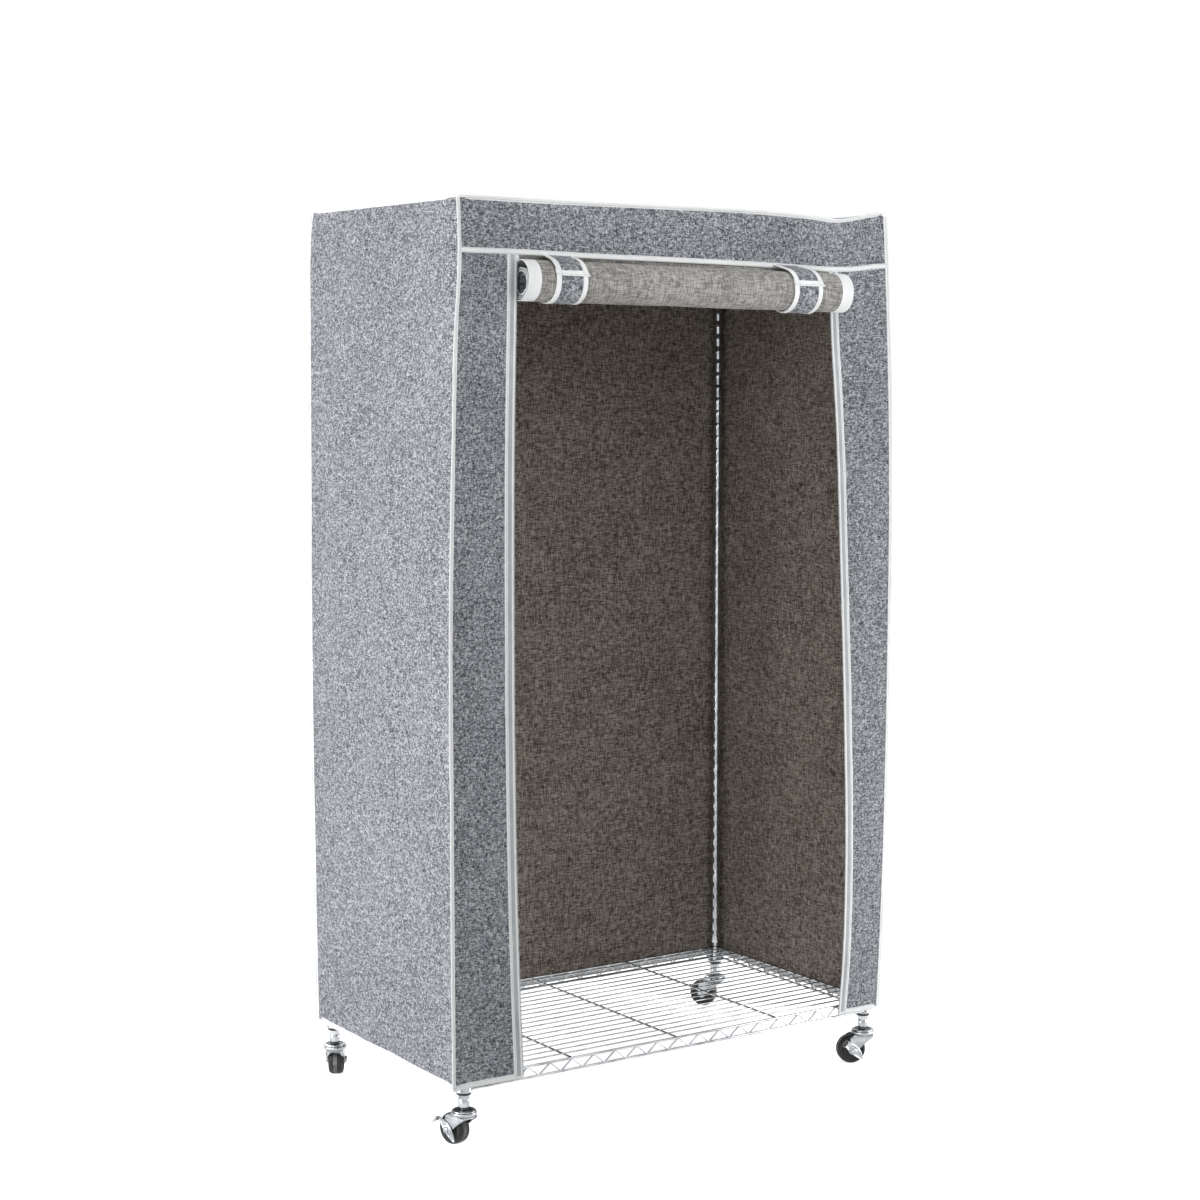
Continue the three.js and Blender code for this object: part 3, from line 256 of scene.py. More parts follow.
mouldedLooks = {   # roughness, specular level, darkest and palest shade
    "blackPlastic": (0.42, 0.5, "#161719", "#26272a"),   # sleeves and stem discs: satin black; on the discs' tops the black is a painted reflection
    "blackTyre": (0.6, 0.4, "#1a1a1b", "#2c2c2e"),   # rubber wheels: a dull black
    "greyTreadBand": (0.75, 0.3, "#5a5b5d", "#8b8c8e"),   # the tyres' middle band, grey against the black sides
    "paintedZinc": (0.35, 0.5, "#cfd1d4", "#e2e4e6"),   # zip sliders: glossy white enamel
    "stitchThreadPaintedShade": (0.6, 0.4, "#979b9f", "#b9bdc0"),   # stitches: a broken grey line on the white, its grey painted shade of the grooves beside the thread
    "nylonZipCoil": (0.4, 0.5, "#a3a8ab", "#c8cccf"),   # zip teeth: a fine, slightly glossy ridge
}
blackPlastic, blackRubber, greyTreadBand, paintedZinc, stitchThreadPaintedShade, zipCoil = (
    mouldedMaterial(name, *look) for name, look in mouldedLooks.items())
print("materials made")


# meshes from grids of points

def gridFaces(rows, columns, roundRows=False, roundColumns=False):
    i, j = np.meshgrid(np.arange(rows if roundRows else rows - 1),
                       np.arange(columns if roundColumns else columns - 1), indexing="ij")
    nextI, nextJ = (i + 1) % rows, (j + 1) % columns
    quads = [i * columns + j, i * columns + nextJ, nextI * columns + nextJ, nextI * columns + j]
    return np.stack(quads, -1).reshape(-1, 4)


def placed(name, data, sharp=None):   # an object of the scene, its mesh smooth up to an angle
    if sharp is not None:
        data.shade_smooth()
        data.set_sharp_from_angle(angle=math.radians(sharp))
    made = bpy.data.objects.new(name, data)
    scene.collection.objects.link(made)
    return made


def newMesh(name, points, faces, materials, slots=None, uv=None, sharp=40):
    mesh = bpy.data.meshes.new(name)
    mesh.from_pydata([tuple(p) for p in points], [], [tuple(int(k) for k in face) for face in faces])
    for material in materials:
        mesh.materials.append(material)
    if slots is not None:
        mesh.polygons.foreach_set("material_index", np.asarray(slots, np.int32))
    if uv is not None:
        corners = np.empty(len(mesh.loops), np.int32)
        mesh.loops.foreach_get("vertex_index", corners)
        mesh.uv_layers.new(name="cloth").data.foreach_set("uv", np.asarray(uv, float)[corners].ravel())
    return placed(name, mesh, sharp)


def unit(vectors):
    vectors = np.asarray(vectors, float)
    return vectors / np.linalg.norm(vectors, axis=-1, keepdims=True)


def runLengths(points):   # metres along a row of points
    return np.concatenate(([0], np.cumsum(np.linalg.norm(np.diff(points, axis=0), axis=1))))


# cloth of real thickness from a grid of its middle surface; its face looks away from the given middle

def clothSheet(name, points, materials, middle, half=0.0006, slotGrid=None, uvFrom=0, sharp=40):
    rows, columns = points.shape[:2]
    along, across = np.gradient(points, axis=0), np.gradient(points, axis=1)
    normal = unit(np.cross(across, along))
    way = 1 if np.sum(normal * (points - np.asarray(middle, float))) > 0 else -1
    half = np.broadcast_to(np.asarray(half, float), (rows, columns))[..., None] * way
    face, back = (points + normal * half).reshape(-1, 3), (points - normal * half).reshape(-1, 3)
    count = rows * columns
    quads = gridFaces(rows, columns)
    corner = np.arange(count).reshape(rows, columns)
    edge = np.concatenate([corner[0, :], corner[1:, -1], corner[-1, -2::-1], corner[-2:0:-1, 0]])
    after = np.roll(edge, -1)
    rim = np.stack([edge, edge + count, after + count, after], 1)
    faces = np.concatenate([quads, quads[:, ::-1] + count, rim])[:, ::way]
    u, v = runLengths(points[rows // 2]) + uvFrom, runLengths(points[:, columns // 2])
    uv = np.tile(np.stack(np.meshgrid(u, v), -1).reshape(-1, 2), (2, 1))
    slotOf = np.broadcast_to(0 if slotGrid is None else slotGrid, (rows - 1, columns - 1))
    rimSlots = [slotOf[0], slotOf[:, -1], slotOf[-1, ::-1], slotOf[::-1, 0]]   # as the cell beside each stretch of it
    if slotGrid is None:
        rimSlots = [np.ones(len(rim), int)]
    slots = np.concatenate([slotOf.ravel(), np.where(slotOf == 0, 1, slotOf).ravel()] + rimSlots)
    return newMesh(name, np.concatenate([face, back]), faces, materials, slots, uv, sharp)


# a closed profile carried along a path; the profile's two numbers go along across and out

def sweepMesh(name, path, across, out, profile, materials, closed=False):
    path, across, out = (np.asarray(part, float) for part in (path, across, out))
    profile = np.asarray(profile, float)
    if profile.ndim == 2:
        profile = np.broadcast_to(profile, (len(path),) + profile.shape)
    points = path[:, None] + across[:, None] * profile[..., :1] + out[:, None] * profile[..., 1:]
    rings, size = points.shape[:2]
    faces = gridFaces(rings, size, closed, True)
    uv = np.stack(np.meshgrid(runLengths(profile[0]), runLengths(path)), -1).reshape(-1, 2)
    ends = [] if closed else [list(range(size))[::-1], list(range((rings - 1) * size, rings * size))]
    return facesOut(newMesh(name, points.reshape(-1, 3), list(faces) + ends, materials, uv=uv, sharp=50))


def facesOut(made):
    work = bmesh.new()
    work.from_mesh(made.data)
    bmesh.ops.remove_doubles(work, verts=work.verts, dist=1e-6)
    bmesh.ops.recalc_face_normals(work, faces=work.faces)
    work.to_mesh(made.data)
    work.free()
    return made


def roundedStrip(width, thickness, steps=3):   # profile of a tape with round edges, in metres
    half = thickness / 2
    turn = [math.pi / 2 * i / steps for i in range(-steps, steps + 1)]
    right = [(width / 2 - half + half * math.cos(a), half * math.sin(a)) for a in turn]
    return right + [(-x, -y) for x, y in right]


def joined(name, parts):   # several meshes of one body as one piece
    work = bmesh.new()
    materials = []
    for part in parts:
        start = len(work.faces)
        work.from_mesh(part.data)
        work.faces.ensure_lookup_table()
        places = []
        for material in part.data.materials:
            if material not in materials:
                materials.append(material)
            places.append(materials.index(material))
        for face in work.faces[start:]:
            face.material_index = places[face.material_index]
    mesh = bpy.data.meshes.new(name)
    work.to_mesh(mesh)
    work.free()
    for material in materials:
        mesh.materials.append(material)
    for part in parts:
        bpy.data.objects.remove(part)
    return placed(name, mesh, 40)


def settle(piece, body, slotName, *replaced):   # the piece rides, and stands for its CAD nodes
    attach(piece, body)
    if replaced:
        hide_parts(*replaced)
    return piece


def turnedMesh(name, profile, place, material, sides=32, closed=False, sharp=35, slots=None, axis="z"):
    profile = np.asarray(profile, float)   # radius and height of each ring, in millimetres
    angle = 2 * math.pi * np.arange(sides) / sides
    level = profile[:, None, :1] * np.stack([np.cos(angle), np.sin(angle)], -1)
    points = np.concatenate([level, np.broadcast_to(profile[:, None, 1:], (len(profile), sides, 1))], -1)
    points = points[..., {"x": [2, 0, 1], "y": [1, 2, 0], "z": [0, 1, 2]}[axis]].reshape(-1, 3)
    materials = material if isinstance(material, list) else [material]
    slots = None if slots is None else np.repeat(slots, sides)
    made = facesOut(newMesh(name, place(points), gridFaces(len(profile), sides, closed, True), materials, slots))
    made.data.set_sharp_from_angle(angle=math.radians(sharp))
    return made


# geometry node trees for what repeats

def newTree(name, inputs):
    tree = bpy.data.node_groups.new(name, "GeometryNodeTree")
    tree.interface.new_socket(name="Geometry", in_out="INPUT", socket_type="NodeSocketGeometry")
    for label, kind in inputs.items():
        tree.interface.new_socket(name=label, in_out="INPUT", socket_type=f"NodeSocket{kind}")
    tree.interface.new_socket(name="Geometry", in_out="OUTPUT", socket_type="NodeSocketGeometry")
    return tree, tree.nodes.new("NodeGroupInput").outputs


def endTree(tree, geometry, material):
    real = addNode(tree, "GeometryNodeRealizeInstances", {"Geometry": geometry}).outputs[0]
    shaded = addNode(tree, "GeometryNodeSetMaterial", {"Geometry": real, "Material": material}).outputs[0]
    addNode(tree, "NodeGroupOutput", {"Geometry": shaded})
    return tree


def grown(name, base, tree, values):   # the tree's result on a base mesh, as a plain mesh
    modifier = base.modifiers.new("grow", "NODES")
    modifier.node_group = tree
    for item in tree.interface.items_tree:
        if item.in_out == "INPUT" and item.name in values:
            modifier[item.identifier] = values[item.name]
    base.update_tag()
    bpy.context.view_layer.update()
    ready = base.evaluated_get(bpy.context.evaluated_depsgraph_get())
    mesh = bpy.data.meshes.new_from_object(ready)
    base.modifiers.remove(modifier)
    bpy.data.objects.remove(base)
    mesh.name = name
    return placed(name, mesh, 40)


def repeatedTree(material):   # the base again and again, a step apart
    tree, given = newTree(f"repeated_{material.name}", {"Count": "Int", "Step": "Vector", "Weld": "Float"})
    line = addNode(tree, "GeometryNodeMeshLine", {"Count": given["Count"], "Offset": given["Step"]}).outputs[0]
    copies = addNode(tree, "GeometryNodeInstanceOnPoints", {"Points": line, "Instance": given["Geometry"]}).outputs[0]
    real = addNode(tree, "GeometryNodeRealizeInstances", {"Geometry": copies}).outputs[0]
    welded = addNode(tree, "GeometryNodeMergeByDistance", {"Geometry": real, "Distance": given["Weld"]}).outputs[0]
    return endTree(tree, welded, material)


def wireTree(material):   # a bent round wire along the base's edges
    tree, given = newTree(f"wire_{material.name}", {"Wire radius": "Float", "Bend radius": "Float", "Sides": "Int"})
    curve = addNode(tree, "GeometryNodeMeshToCurve", {"Mesh": given["Geometry"]}).outputs[0]
    bent = addNode(tree, "GeometryNodeFilletCurve", {
        "Curve": curve, "Radius": given["Bend radius"], "Count": 3, "Limit Radius": True}, mode="POLY").outputs[0]
    ring = addNode(tree, "GeometryNodeCurvePrimitiveCircle", {
        "Resolution": given["Sides"], "Radius": given["Wire radius"]}).outputs[0]
    wire = addNode(tree, "GeometryNodeCurveToMesh", {"Curve": bent, "Profile Curve": ring, "Fill Caps": True})
    return endTree(tree, wire.outputs[0], material)


def grainTree(material):   # small rounded grains set along the base's edges: stitches and zip teeth
    tree, given = newTree(f"grains_{material.name}", {"Spacing": "Float", "Grain size": "Vector", "Seed": "Int"})
    curve = addNode(tree, "GeometryNodeMeshToCurve", {"Mesh": given["Geometry"]}).outputs[0]
    spots = addNode(tree, "GeometryNodeCurveToPoints", {
        "Curve": curve, "Length": given["Spacing"]}, mode="LENGTH").outputs
    turn = addNode(tree, "FunctionNodeAlignRotationToVector", {"Vector": spots["Tangent"]}, axis="Z").outputs[0]
    vary = addNode(tree, "FunctionNodeRandomValue", {
        2: 0.85, 3: 1.1, "Seed": given["Seed"]}, data_type="FLOAT").outputs[1]   # sockets 2 and 3: least and most
    grain = addNode(tree, "GeometryNodeMeshIcoSphere", {"Radius": 1.0, "Subdivisions": 1}).outputs[0]
    grain = addNode(tree, "GeometryNodeTransform", {"Geometry": grain, "Scale": given["Grain size"]}).outputs[0]
    copies = addNode(tree, "GeometryNodeInstanceOnPoints", {
        "Points": spots["Points"], "Instance": grain, "Rotation": turn, "Scale": vary}).outputs[0]
    return endTree(tree, copies, material)


def stitchRow(name, rows):
    return grown(name, edgeLine(name, rows), grainsOfThread,
                 {"Spacing": stitchLook["spacing"], "Grain size": stitchLook["grain"], "Seed": 3})


def edgeLine(name, rows):   # base meshes of edges only, one run for each row of points
    mesh = bpy.data.meshes.new(name)
    points, edges = [], []
    for row in rows:
        edges += [(len(points) + i, len(points) + i + 1) for i in range(len(row) - 1)]
        points += [tuple(p) for p in row]
    mesh.from_pydata(points, edges, [])
    return placed(name, mesh)


stitchLook = {"spacing": 0.0034, "grain": (0.00042, 0.00042, 0.00135)}
# stitch grains in a thread whose grey is painted shade of the seam grooves
grainsOfThread = grainTree(stitchThreadPaintedShade)
grainsOfCoil = grainTree(zipCoil)
repeatedChrome = repeatedTree(chromePlate)
weldDistance = 0.00001
chromeWire = wireTree(chromePlate)

# the cover's run, in millimetres about the rack's middle

cover = {
    "width": 914, "depth": 506, "hem": 90, "slack": 18, "rounding": 14, "panelTop": 1572.5, "panelBottom": 94,
    "sag": 8, "seam": 1490, "seamDip": 15.5, "topDip": 13, "openingHalf": 345, "openingBow": 32, "tape": 18,
    "measuredFrom": 99.3, "measuredTo": 1575.5, "columnStep": 11, "rowStep": 16, "foldDepth": 4.0,
    "topRipple": 0.9, "valanceBelly": 1.4, "stripBelly": 1.3,
}
wallShares = [0, 0.06, 0.18, 0.35, 0.52, 0.65, 0.78, 0.86, 0.94, 0.985, 1]
leanShares = {
    "front_left": [0.56, 0.56, 0.58, 0.6, 0.59, 0.34, 0.05, -0.2, -0.6, -0.5, -0.45],
    "front_right": [0.02, 0.28, 0.63, 0.9, 1, 0.97, 0.7, 0.42, 0.04, -0.2, -0.3],
    "rear_left": [0.2, 0.24, 0.3, 0.36, 0.36, 0.3, 0.24, 0.2, 0.16, 0, -0.15],
    "rear_right": [0.1, 0.2, 0.32, 0.4, 0.4, 0.34, 0.26, 0.2, 0.14, 0, -0.2],
}
frontShares = [0, 0.03, 0.14, 0.28, 0.42, 0.56, 0.7, 0.8, 0.88, 0.93, 0.97, 1]
topDipShares = [0, 0, 0.12, 0.2, 0.22, 0.24, 0.38, 0.68, 1, 0.5, 0, 0]
seamDipShares = [0, 0.02, 0.08, 0.29, 0.41, 0.55, 0.74, 0.94, 1, 0.84, 0.55, 0.45]
edgeShares = [0, 0.06, 0.2, 0.38, 0.58, 0.78, 0.94, 1]
openingShares = {
    -1: [-0.41, -0.3, -0.1, 0.03, 0.06, 0, -0.15, -0.19],
    1: [0.61, 0.84, 1, 0.82, 0.44, 0, -0.53, -0.6],
}
wallFolds = {   # places across a wall, and how its folds stand out there
    "side": ([0, 0.03, 0.14, 0.3, 0.46, 0.62, 0.78, 0.97, 1], [0, 0, 0.5, -0.3, 0.7, -0.2, 0.6, 0, 0]),
    "back": ([0, 0.015, 0.13, 0.26, 0.4, 0.53, 0.67, 0.8, 0.9, 0.985, 1],
             [0, 0, 0.6, -0.3, 0.7, 0.1, 0.8, -0.2, 0.5, 0, 0]),
}
halfWidth, halfDepth = cover["width"] / 2, cover["depth"] / 2


def shareOf(z, top):   # height as a share of the stretch that was measured
    return (z - cover["measuredFrom"]) / (top - cover["measuredFrom"])


def lean(corner, z):
    return cover["slack"] * smoothRead(wallShares, leanShares[corner], shareOf(z, cover["measuredTo"]))


def cornerX(corner, z):
    return cornerSides[corner][0] * (halfWidth + lean(corner, z))


def cornerY(corner, z):   # the front corners lean sideways only
    end = cornerSides[corner][1]
    return end * (halfDepth + (lean(corner, z) if end > 0 else 0 * np.asarray(z)))


def frontShare(x):
    return np.clip((x + halfWidth) / cover["width"], 0, 1)


def topDip(x):
    return cover["topDip"] * smoothRead(frontShares, topDipShares, frontShare(x))


def seamZ(x):
    return cover["seam"] - cover["seamDip"] * smoothRead(frontShares, seamDipShares, frontShare(x))


def openingEdge(side, z):
    share = np.clip(shareOf(z, cover["seam"]), 0, 1)
    return side * (cover["openingHalf"] + cover["openingBow"] * smoothRead(edgeShares, openingShares[side], share))


def wallOut(start, corners, share, length, z, folds, unrest, seed, stride):   # how far out a wall hangs
    rounding = np.clip(np.minimum(share, 1 - share) * length / cover["rounding"], 0, 1)
    leans = [(1 - rounding) * lean(key, z) + rounding * np.maximum(lean(key, z), 0) for key in corners]
    height = (z - cover["panelBottom"]) / (cover["panelTop"] - cover["panelBottom"])
    hang = np.sin(math.pi * np.clip(height, 0, 1)) ** 0.7
    ease = np.clip(np.sin(math.pi * share), 0, 1) ** 0.5 * (0.35 + 0.65 * hang)
    out = cover["foldDepth"] * smoothRead(*folds, share) * hang + unrest * ease * waves(share * length, z, seed, stride)
    return start + ((1 - share) * leans[0] + share * leans[1]) - 0.6 + out


def sideWallAt(side, v, z):
    v, z = np.broadcast_arrays(np.asarray(v, float), np.asarray(z, float))
    corners = [f"{end}_{'left' if side < 0 else 'right'}" for end in ("front", "rear")]
    y = (1 - v) * -halfDepth + v * cornerY(corners[1], z)
    out = wallOut(halfWidth, corners, v, cover["depth"], z, wallFolds["side"], 1.6, 11 + side, 170)
    return pointsOf(side * out, y, z)


def backWallAt(u, z):
    u, z = np.broadcast_arrays(np.asarray(u, float), np.asarray(z, float))
    x = (1 - u) * cornerX("rear_left", z) + u * cornerX("rear_right", z)
    y = wallOut(halfDepth, ["rear_left", "rear_right"], u, cover["width"], z, wallFolds["back"], 2.2, 31, 190)
    return pointsOf(x, y, z)


def grid(across, up):
    return np.meshgrid(np.asarray(across, float), np.asarray(up, float))


def stations(low, high, step):
    return np.linspace(low, high, max(int(round((high - low) / step)), 1) + 1)


coverMiddle = toFrame([0, 0, 800])
wallHeights = stations(cover["panelBottom"], cover["panelTop"], cover["rowStep"])
weaveFrom = {"side": 3.0, "back": 6.0, "top": 9.0, "valance": 12.0, "strip": 15.0}   # so no two panels' flecks match


def coverSheet(name, points, uvFrom, node):   # a panel, its back in the cloth's back with the inside's warm shade painted in
    sheet = clothSheet(name, toFrame(points), [greyMelange, innerClothPaintedShade], coverMiddle, uvFrom=uvFrom)
    settle(sheet, "rack", "grey_cloth", node)


across, up = grid(stations(0, cover["depth"], cover["columnStep"]) / cover["depth"], wallHeights)
for name, side in bothSides.items():
    coverSheet(f"side_wall_{name}", sideWallAt(side, across, up), side * weaveFrom["side"],
               f"cover_side_{name}")
across, up = grid(stations(0, cover["width"], cover["columnStep"]) / cover["width"], wallHeights)
coverSheet("back_wall", backWallAt(across, up), weaveFrom["back"], "cover_back")


def topAt(u, v):
    z = cover["panelTop"]
    x = (1 - u) * sideWallAt(-1, v, z + 0 * v)[..., 0] + u * sideWallAt(1, v, z + 0 * v)[..., 0]
    y = (1 - v) * -halfDepth + v * backWallAt(u, z + 0 * u)[..., 1]
    inside = np.clip(16 * u * (1 - u) * v * (1 - v), 0, 1)
    sag = cover["sag"] * inside ** 0.6 + topDip(x) * smoothStep(0.14, 0, v)
    ripple = cover["topRipple"] * inside ** 0.4 * waves(x, y, 47, 150)
    apart = np.hypot(np.abs(x) - postTops["x"], np.abs(y) - postTops["y"])
    tent = postTops["z"] - postTops["slope"] * np.maximum(apart - postTops["flat"], 0)   # the cloth lies over the posts
    return pointsOf(x, y, np.maximum(z - sag + ripple, np.where(apart < postTops["reach"], tent, 0)))


def edgedStations(length):   # shares of a side, close together where the posts stand near its ends
    near = np.array([0, 4, 8, 11, 14, 18, 22, 25, 28, 33, 40])
    middle = stations(near[-1], length - near[-1], cover["columnStep"])[1:-1]
    return np.concatenate([near, middle, length - near[::-1]]) / length


postTops = {"x": 439, "y": 235, "z": 1576.8, "slope": 0.42, "flat": 8, "reach": 22}
across, up = grid(edgedStations(cover["width"]), edgedStations(cover["depth"]))
coverSheet("top_panel", topAt(across, up), weaveFrom["top"], "cover_top")

frontY = -halfDepth + 0.6


def valanceAt(u, v):
    nearTop = cover["panelTop"] - 0.5
    x = (1 - u) * cornerX("front_left", nearTop) + u * cornerX("front_right", nearTop)
    low, high = seamZ(x) - 1, cover["panelTop"] - topDip(x)
    z = (1 - v) * low + v * high
    x = (1 - u) * cornerX("front_left", z) + u * cornerX("front_right", z)
    belly = np.sin(math.pi * v) * np.clip(np.sin(math.pi * u), 0, 1) ** 0.3
    return pointsOf(x, frontY - cover["valanceBelly"] * belly * (0.5 + waves(x, z, 53, 240)), z)


across, up = grid(stations(0, 1, 1 / 90), stations(0, 1, 1 / 10))
coverSheet("valance_panel", valanceAt(across, up), weaveFrom["valance"], "valance")

for name, side in bothSides.items():
    corner = f"front_{name}"

    def stripAt(u, v):
        topX = side * ((1 - u) * (cover["openingHalf"] + 12) + u * halfWidth)
        z = (1 - v) * cover["panelBottom"] + v * (seamZ(topX) + 1)
        inner = openingEdge(side, z) + side * (cover["tape"] - 3)
        x = (1 - u) * inner + u * cornerX(corner, z)
        hang = np.sin(math.pi * v) ** 0.6
        belly = np.clip(np.sin(math.pi * u), 0, 1) ** 0.6 * hang
        return pointsOf(x, frontY - cover["stripBelly"] * belly * waves(x, z, 61 + side, 130), z)

    across, up = grid(stations(0, 1, 1 / 12), stations(0, 1, 1 / 90))
    coverSheet(f"front_panel_{name}", stripAt(across, up), weaveFrom["strip"] + side,
               f"front_strip_{name}")
print("cover panels hung")


# bound seams: the white tape folded over two edges stands off the cover as a narrow fin

finSize = {
    "reach": 7.2, "reachVaries": 0.4, "root": 1.6, "rootThickness": 2.5, "tipThickness": 1.9, "sway": math.radians(9),
    "seamAt": 2.4, "seamOff": 1.25,
}


def finProfile(reach, root):   # along across from the seam to the fold, in metres
    half, tip = finSize["rootThickness"] / 2, finSize["tipThickness"] / 2
    turn = [math.pi / 2 * i / 3 for i in range(-3, 4)]
    fold = [(reach - tip + tip * math.cos(a), tip * math.sin(a)) for a in turn]
    outline = [(-root, -half * 0.7), (0.6, -half)] + fold + [(0.6, half), (-root, half * 0.7)]
    return np.array(outline) / 1000


finLean = {"front_left": math.radians(22), "front_right": math.radians(-8), "rear_left": math.radians(50),
           "rear_right": math.radians(45)}


def cornerRun(corner, z):   # a corner's line, and the ways out along its fin and off it
    side, end = cornerSides[corner]
    sway = finLean[corner] + finSize["sway"] * waves(z, 0, 71 + side + 2 * end, 330)
    path = pointsOf(cornerX(corner, z), cornerY(corner, z), z)
    along = pointsOf(side * np.cos(sway), end * np.sin(sway), 0)
    return path, along, pointsOf(-side * np.sin(sway), end * np.cos(sway), 0)


for corner, (side, end) in cornerSides.items():
    z = stations(cover["panelBottom"] + 1, cover["panelTop"] + 1, 14)
    path, across, out = cornerRun(corner, z)
    reach = finSize["reach"] + finSize["reachVaries"] * waves(z, 0, 83 + side + 2 * end, 210)
    profile = np.stack([finProfile(r, finSize["root"]) for r in reach])
    fin = sweepMesh(f"corner_seam_{corner}", toFrame(path), across, out, profile, [whiteTape])
    settle(fin, "rack", "white_binding", f"corner_binding_{corner}")


def loopOutwards(path, centre):   # level directions away from the middle of a closed run
    ahead = unit(np.roll(path, -1, 0) - np.roll(path, 1, 0))
    out = np.cross(ahead, [0, 0, 1])
    return unit(out * np.sign(np.sum(out * (path - centre), axis=1, keepdims=True)))


def ringOf(frontPoints, z):   # front from left to right, then round the right side, the back and the left side
    right = sideWallAt(1, stations(0, 1, 1 / 36)[1:-1], z)
    back = backWallAt(stations(0, 1, 1 / 60)[::-1], z)
    left = sideWallAt(-1, stations(0, 1, 1 / 36)[::-1][1:-1], z)
    return np.concatenate([frontPoints, right, back, left])


x = np.linspace(cornerX("front_left", cover["panelTop"]), cornerX("front_right", cover["panelTop"]), 66)
topRing = ringOf(pointsOf(x, -halfDepth, cover["panelTop"] - topDip(x)), cover["panelTop"])
for _ in range(2):   # its corners are blurred twice
    topRing[:, :2] = (np.roll(topRing, 1, 0) + 2 * topRing + np.roll(topRing, -1, 0))[:, :2] / 4
outwards = loopOutwards(topRing, np.array([0, 0, cover["panelTop"]]))
run = runLengths(topRing)
topFin = {"rise": math.radians(52), "riseVaries": math.radians(10), "reach": 6.6, "reachVaries": 0.3, "root": 1.8}
rise = topFin["rise"] + topFin["riseVaries"] * waves(run, 0, 91, 260) * np.sin(math.pi * run / run[-1]) ** 0.2
topAcross = outwards * np.cos(rise)[:, None] + np.array([0, 0, 1]) * np.sin(rise)[:, None]
topOut = unit(np.cross(topAcross, unit(np.roll(topRing, -1, 0) - np.roll(topRing, 1, 0))))
reach = topFin["reach"] + topFin["reachVaries"] * waves(run, 0, 93, 190)
profile = np.stack([finProfile(r, topFin["root"]) for r in reach])
fin = sweepMesh("top_seam", toFrame(topRing), topAcross, topOut, profile, [whiteTape], closed=True)
settle(fin, "rack", "white_binding", "top_binding")


def tilted(ahead, up, out, degrees):   # the ways up and off a band that turns a little about its run
    turn = np.radians(degrees)[:, None]
    up = up * np.cos(turn) + out * np.sin(turn)
    return up, unit(np.cross(ahead, up))


hemLook = {"height": 10.5, "thickness": 2.6, "flare": 6, "dip": 3, "flareReach": 11, "stitchAt": 3.4, "stitchOff": 1.3}
hemZ = cover["hem"] + hemLook["height"] / 2 - 0.5
foot = cover["measuredFrom"]
leftEnd, rightEnd = (openingEdge(side, np.array(foot)) for side in bothSides.values())
right, left = (pointsOf(xs, frontY, hemZ) for xs in (
    np.linspace(rightEnd, cornerX("front_right", foot), 12)[:-1],
    np.linspace(cornerX("front_left", foot), leftEnd, 12)[1:]))
sideShares = stations(0, 1, 1 / 36)
ring = np.concatenate([
    right, sideWallAt(1, sideShares, hemZ), backWallAt(stations(0, 1, 1 / 60)[::-1][1:-1], hemZ),
    sideWallAt(-1, sideShares[::-1], hemZ), left])
ring[1:-1, :2] = (ring[:-2] + 2 * ring[1:-1] + ring[2:])[:, :2] / 4
for corner in ("front_left", "front_right"):   # the hem flares round the foot of each corner fin
    side, end = cornerSides[corner]
    foot = np.array([cornerX(corner, hemZ), cornerY(corner, hemZ)])
    near = np.exp(-(np.linalg.norm(ring[:, :2] - foot, axis=1) / hemLook["flareReach"]) ** 2)[:, None]
    way = np.array([side * math.cos(finLean[corner]), end * math.sin(finLean[corner])])
    ring[:, :2] += near * hemLook["flare"] * way
    ring[:, 2:] -= near * hemLook["dip"]
ahead = unit(np.gradient(ring, axis=0))
run = runLengths(ring)
hemUp, hemOut = tilted(ahead, np.array([0, 0, 1]), unit(np.cross(ahead, [0, 0, 1])), 7 * waves(run, 0, 101, 220))
hemPath = ring + np.array([0, 0, 0.8]) * waves(run, 0, 103, 300)[:, None]
hem = sweepMesh("hem_tape", toFrame(hemPath), hemUp, hemOut,
                roundedStrip(hemLook["height"] / 1000, hemLook["thickness"] / 1000), [whiteTape])
settle(hem, "rack", "white_binding", "hem_binding")

bandLook = {"height": 9.2, "thickness": 2.6, "stitchAt": 3.1, "stitchOff": 1.3}
x = np.linspace(cornerX("front_left", cover["seam"]) + 1, cornerX("front_right", cover["seam"] - 5) - 1, 110)
seamPath = pointsOf(x, -halfDepth - 0.8, seamZ(x))
ahead = unit(np.gradient(seamPath, axis=0))
seamUp, seamOut = tilted(ahead, unit(np.cross(ahead, [0, 1, 0])), np.array([0, -1, 0]), 5 * waves(x, 0, 107, 260))
band = sweepMesh("seam_tape", toFrame(seamPath), seamUp, seamOut,
                 roundedStrip(bandLook["height"] / 1000, bandLook["thickness"] / 1000), [whiteTape])
settle(band, "rack", "white_binding", "seam_band")
print("bindings sewn on")


# zip tapes: woven tape with a rib down its middle and the coil along its inner edge

zipLook = {"thickness": 1.3, "coilPitch": 1.9, "coilWidth": 3.4, "coilHeight": 1.9}


